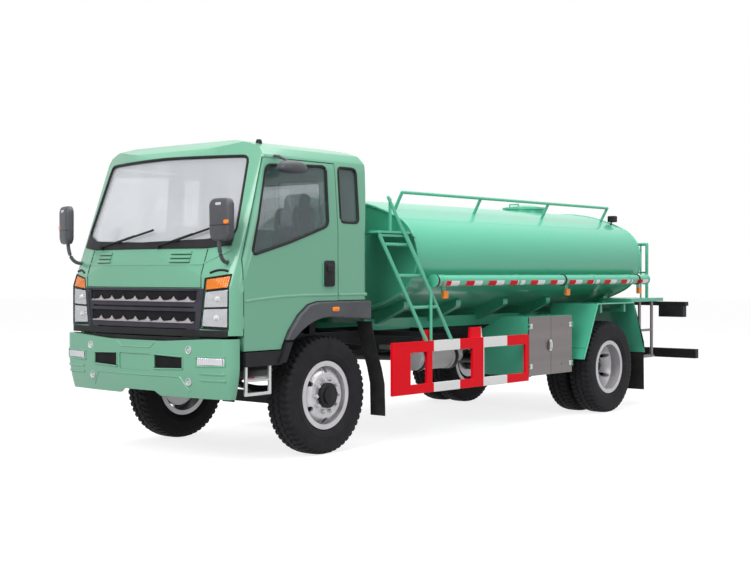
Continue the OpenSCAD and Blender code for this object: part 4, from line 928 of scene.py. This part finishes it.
cleaner = {"x": (0.8, 1.29), "y": 0.85, "z": 0.745, "band": (0.115, 0.1255, 0.02)}
bandRing = hoop(*cleaner["band"])[:4]  # open inside, where the cleaner is
addPiece("cleanerBands", [revolve(bandRing, (x, cleaner["y"], cleaner["z"]), 0, 40) for x in cleaner["x"]],
         "blackPlastic", "chassis")

# dark panel that closes the gap between bumper and cab: painted shade, a black sheet where the gap lies in shadow

gap = {"half": 0.93, "z": (0.86, 1.034), "back": 0.045}
yy, zz = spread(np.linspace(-gap["half"], gap["half"], 41), np.linspace(*gap["z"], 3))
addPiece("gapPanel", [xyz(bumperX(yy) - gap["back"], yy, zz)[::-1]], "chassisBlack", "chassis", wall=0.003)

# scalloped lips along the foot of each grille row, in a pale grey that is a painted highlight where their tops
# catch the light

lip = {
    "rows": [(0.655, 1.318), (0.638, 1.148)], "pitch": 0.1567, "foot": 0.012, "height": 0.034, "out": 0.003,
    "lean": 0.018, "skew": 0.15, "sharp": 1.5,
}
lips = []
for half, z0 in lip["rows"]:
    ly = np.linspace(-half, half, 341)
    u = ly / lip["pitch"]
    slow = u - lip["skew"] * np.sin(pi * u) ** 2  # rises slowly and falls fast towards +y
    peak = (1.0 - np.abs(np.cos(pi * slow))) ** lip["sharp"]  # sharp tops between round hollows
    yg, tg = spread(ly, shares(6))
    zg = z0 + tg * (lip["foot"] + lip["height"] * peak)[:, None]
    lips.append(xyz(cabX(yg, zg) + lip["out"] - lip["lean"] * tg ** 1.5, yg, zg)[::-1])
addPiece("grilleLips", lips, "lipGrey", "cab", wall=0.003)

# dark cheeks that carry the grille out to the headlamps; each edge is given as heights and half widths

cheek = {
    "z": (1.09, 1.428), "grille": ((1.062, 1.405, 1.428), (0.658, 0.718, 0.64)),
    "lamp": ((1.108, 1.512), (0.707, 0.763)), "out": 0.0025,
}
cz = np.linspace(*cheek["z"], 41)
inEdge, outEdge = np.interp(cz, *cheek["grille"]), np.interp(cz, *cheek["lamp"])
cheekY = inEdge + shares(9)[:, None] * (outEdge - inEdge)  # from the grille's edge to the lamp's
cheekGrid = xyz(cabX(cheekY, cz) + cheek["out"], cheekY, cz)
addPiece("grilleCheeks", [cheekGrid, mirrored(cheekGrid)], "grillePlastic", "cab", wall=0.004)

# black strip under the grille, and behind it a dark sheet that is painted shade under the cab's front

chin = {"half": 0.983, "z": (1.043, 1.097), "out": 0.003}
yy, zz = spread(np.linspace(-chin["half"], chin["half"], 121), np.linspace(*chin["z"], 5))
addPiece("chinStrip", [xyz(cabX(yy, zz) + chin["out"], yy, zz)], "blackPlastic", "cab", wall=0.005)
shadeSkirt = {"half": 0.93, "z": (0.985, 1.06), "x": 0.93}
yy, zz = spread(np.linspace(-shadeSkirt["half"], shadeSkirt["half"], 9), np.linspace(*shadeSkirt["z"], 3))
addPiece("cabSkirt", [xyz(frontX + shadeSkirt["x"], yy, zz)[::-1]], "chassisBlack", "cab", wall=0.004)

# kerb mirror: a rounded bowl on a bent arm

kerb = {
    "place": (0.56, 1.14, 2.4), "size": (0.152, 0.075, 0.066), "under": 0.55, "square": 0.62, "plan": 0.75,
    "arm": 0.012,
    "armPath": [[0.61, 0.985, 2.512], [0.605, 1.04, 2.505], [0.59, 1.09, 2.478], [0.575, 1.125, 2.44]],
}
th, ph = spread(np.linspace(-pi / 2, pi / 2, 25), np.linspace(0.0, 2 * pi, 40, endpoint=False))
full = np.abs(np.cos(th)) ** kerb["square"]  # a swollen ball, squarer in plan and flatter underneath
plan = [np.sign(wave) * np.abs(wave) ** kerb["plan"] for wave in (np.cos(ph), np.sin(ph))]
dome = xyz(full * plan[0], full * plan[1], np.where(th < 0, kerb["under"], 1.0) * np.sin(th))
addPiece("kerbMirror", [fromFront + np.array(kerb["place"]) + dome * np.array(kerb["size"]),
                        tube(fromFront + np.array(kerb["armPath"]), kerb["arm"], 12)], "flareGrey",
         "door_left", ["kerb_mirror"], smoothBelow=60.0)

# dark hub caps, in radius and distance out from the wheel's middle

hub = {
    "front": [[0.0, 0.1672], [0.044, 0.1672], [0.058, 0.164], [0.0735, 0.1655], [0.0735, 0.148],
        [0.101, 0.147], [0.108, 0.142], [0.108, 0.103], [0.0, 0.103]],
    "rear": [[0.0, 0.1205], [0.05, 0.1205], [0.0645, 0.114], [0.0645, 0.1045], [0.096, 0.104],
        [0.1025, 0.098], [0.1025, 0.0885], [0.118, 0.088], [0.1235, 0.083], [0.1235, 0.02], [0.0, 0.02]],
}
for side, hand in hands:
    for name, child in (("front", "wheel_front_"), ("rear", "wheels_rear_")):
        cap = np.array(hub[name]) * np.array([1.0, side])
        addPiece("hub_" + name + "_" + hand, [revolve(cap, joint[child + hand]["pos_m"], 1)], "chassisBlack",
                 child + hand)
print("wheels and mirrors finished")

# rolled rims of the tank, and straps round the hose tubes

tank = {
    "x": (1.576, -2.695), "sideAt": 0.69, "rise": 0.16, "side": 0.4, "z": 1.71, "rim": 0.013, "sink": 0.004,
}


def tankOval(grow):
    # four arcs: two tight ones at the sides, and wide ones over the top and underneath
    wide = (tank["sideAt"] ** 2 + tank["rise"] ** 2) / (2 * tank["rise"])
    drop = wide - tank["rise"]
    turn = pi / 2 - atan2(tank["sideAt"], drop)
    right = np.linspace(-turn, turn, 25)[:-1]
    top = np.linspace(turn, pi - turn, 41)[:-1]
    r = tank["side"] + grow
    half = np.concatenate([np.stack([tank["sideAt"] + r * np.cos(right), r * np.sin(right)], -1),
                           np.stack([(wide + r) * np.cos(top), (wide + r) * np.sin(top) - drop], -1)])
    return np.concatenate([half, -half])


oval = tankOval(-tank["sink"])
rimLines = [tube(xyz(x, oval[:, 0], tank["z"] + oval[:, 1]), tank["rim"], 10, True) for x in tank["x"]]
addPiece("tankRims", rimLines, "tankPaint", "chassis")
strap = {"x": (1.405, -0.842, -2.465), "band": (0.056, 0.0607, 0.012)}
straps = [revolve(hoop(*strap["band"]), (x, s * tape["y"], tape["z"]), 0, 40)
          for x in strap["x"] for s in (1, -1)]
addPiece("hoseStraps", straps, "blackPlastic", "chassis")

# rolled lip along each rear wing, and a band across its front

wing = {
    "out": [(0.578, 0.625), (0.513, 0.745), (0.279, 1.214), (-0.529, 1.214), (-0.768, 0.762), (-0.787, 0.64)],
    "y": 1.221, "radius": 0.0085, "bandX": 0.5165, "bandY": (0.65, 1.222), "bandZ": 0.745, "band": 0.006,
}
wx, wz = corners(wing["out"], 10)
bandY = np.linspace(*wing["bandY"], 9)
wingLips = [tube(xyz(rearX + wx, s * wing["y"], wz), wing["radius"], 10) for s in (1, -1)]
wingLips += [tube(xyz(rearX + wing["bandX"], s * bandY, wing["bandZ"]), wing["band"], 8) for s in (1, -1)]
addPiece("wingLips", wingLips, "tankPaint", "chassis")

# hinge plates and latch of the tool box

leaf = {
    "face": 1.1757, "z": (0.596, 1.006), "x": {"box_leaf_front": -0.2, "box_leaf_rear": -0.966},
    "plate": (0.048, 0.052, 0.006, 0.006, 0.0015), "plateOut": 0.002, "rivetOut": 0.005,
    "rivetX": (-0.012, 0.012), "rivetZ": (-0.015, 0.015),
    "rivet": [[0.0, 0.0035], [0.0055, 0.0025], [0.0065, 0.0], [0.0, 0.0]],
}
across, up = (-1, 0, 0), (0, 0, 1)
for body, x in leaf["x"].items():
    plates = [block((x, leaf["face"] + leaf["plateOut"], z), across, up, *leaf["plate"]) for z in leaf["z"]]
    plates += [revolve(leaf["rivet"], (x + dx, leaf["face"] + leaf["rivetOut"], z + dz), 1, 16)
               for z in leaf["z"] for dx in leaf["rivetX"] for dz in leaf["rivetZ"]]
    addPiece("hinges_" + body, plates, "aluminium", body)
latch = {
    "x": -0.557, "gripY": (1.193, 1.204, 1.206, 1.204, 1.193), "gripZ": (0.842, 0.832, 0.801, 0.77, 0.76),
    "grip": 0.006, "plateAt": (1.186, 0.801), "plate": (0.04, 0.116, 0.016, 0.008, 0.003),
}
addPiece("latch", [tube(xyz(latch["x"], latch["gripY"], latch["gripZ"]), latch["grip"], 10),
                   block((latch["x"], *latch["plateAt"]), across, up, *latch["plate"])], "aluminium",
         "box_leaf_front")

# seats: crowned cushions over a plain stand; each is x, z, length, thickness, width and channels

seat = {
    "y": 0.47, "lean": 7.0, "corner": 0.07, "cushion": (0.145, 1.492, 0.54, 0.135, 0.485, 3),
    "back": (-0.155, 1.825, 0.65, 0.135, 0.485, 4), "head": (-0.205, 2.128, 0.27, 0.115, 0.31, 0),
    "drawIn": 0.035, "press": 0.01, "narrow": 20, "puff": 2.6, "rows": 12, "rim": 0.97, "middle": 0.99188,
    "stand": (0.135, 1.388), "standSize": (0.4, 0.39, 0.08, 0.03),
}


def pillow(centre, up, width, height, depth, channels):
    # an outline swollen through its depth, its sides drawn in, with sewn channels pressed in
    across, up = np.array([0.0, 1.0, 0.0]), np.array(up, float)
    line = roundedOutline(width, height, seat["corner"], 7)
    draw = 1.0 - seat["drawIn"] * (1.0 - (2 * line[:, ::-1] / np.array([height, width])) ** 2)
    rise = np.linspace(0.0, seat["rim"], seat["rows"])
    fill = np.concatenate([rise, [seat["middle"]], rise[::-1]])
    crown = np.sqrt(1.0 - rise ** seat["puff"])
    face = np.concatenate([-crown, [0.0], crown[::-1]])
    flat = fill[:, None, None] * (line * draw)[None]
    wave = np.cos(2 * pi * channels * flat[..., 1:] / height) ** seat["narrow"]
    lift = (depth / 2 * face)[:, None, None]
    lift = lift - np.sign(face)[:, None, None] * seat["press"] * wave * (channels > 0)
    return np.array(centre) + flat[..., :1] * across + flat[..., 1:] * up + lift * np.cross(across, up)


lean = radians(seat["lean"])
backUp = (-sin(lean), 0.0, cos(lean))
pads, stands = [], []
for s in (1, -1):
    for key, upward in (("cushion", (1.0, 0.0, 0.0)), ("back", backUp), ("head", backUp)):
        px, pz, long, thick, width, channels = seat[key]
        pads.append(pillow((frontX + px, s * seat["y"], pz), upward, width, long, thick, channels))
    stands.append(block((frontX + seat["stand"][0], s * seat["y"], seat["stand"][1]), (0, 1, 0), (1, 0, 0),
                        *seat["standSize"]))
addPiece("seatPads", pads, "seatCloth", "cab", ["seats"], smoothBelow=60.0)
addPiece("seatStands", stands, "blackPlastic", "cab")

# work lamp at the back of the tank, on a bent stalk

work = {
    "place": (-2.65, 0.74, 2.196), "size": (0.1, 0.075, 0.06, 0.012), "stalk": 0.01,
    "stalkPath": [[0.02, 0.0, -0.035], [0.03, 0.0, -0.06], [0.045, 0.0, -0.075]],
}
addPiece("workLamp", [block(work["place"], (0, 1, 0), (0, 0, 1), *work["size"]),
                      tube(np.array(work["place"]) + np.array(work["stalkPath"]), work["stalk"])],
         "blackPlastic", "chassis")
print("small parts finished")
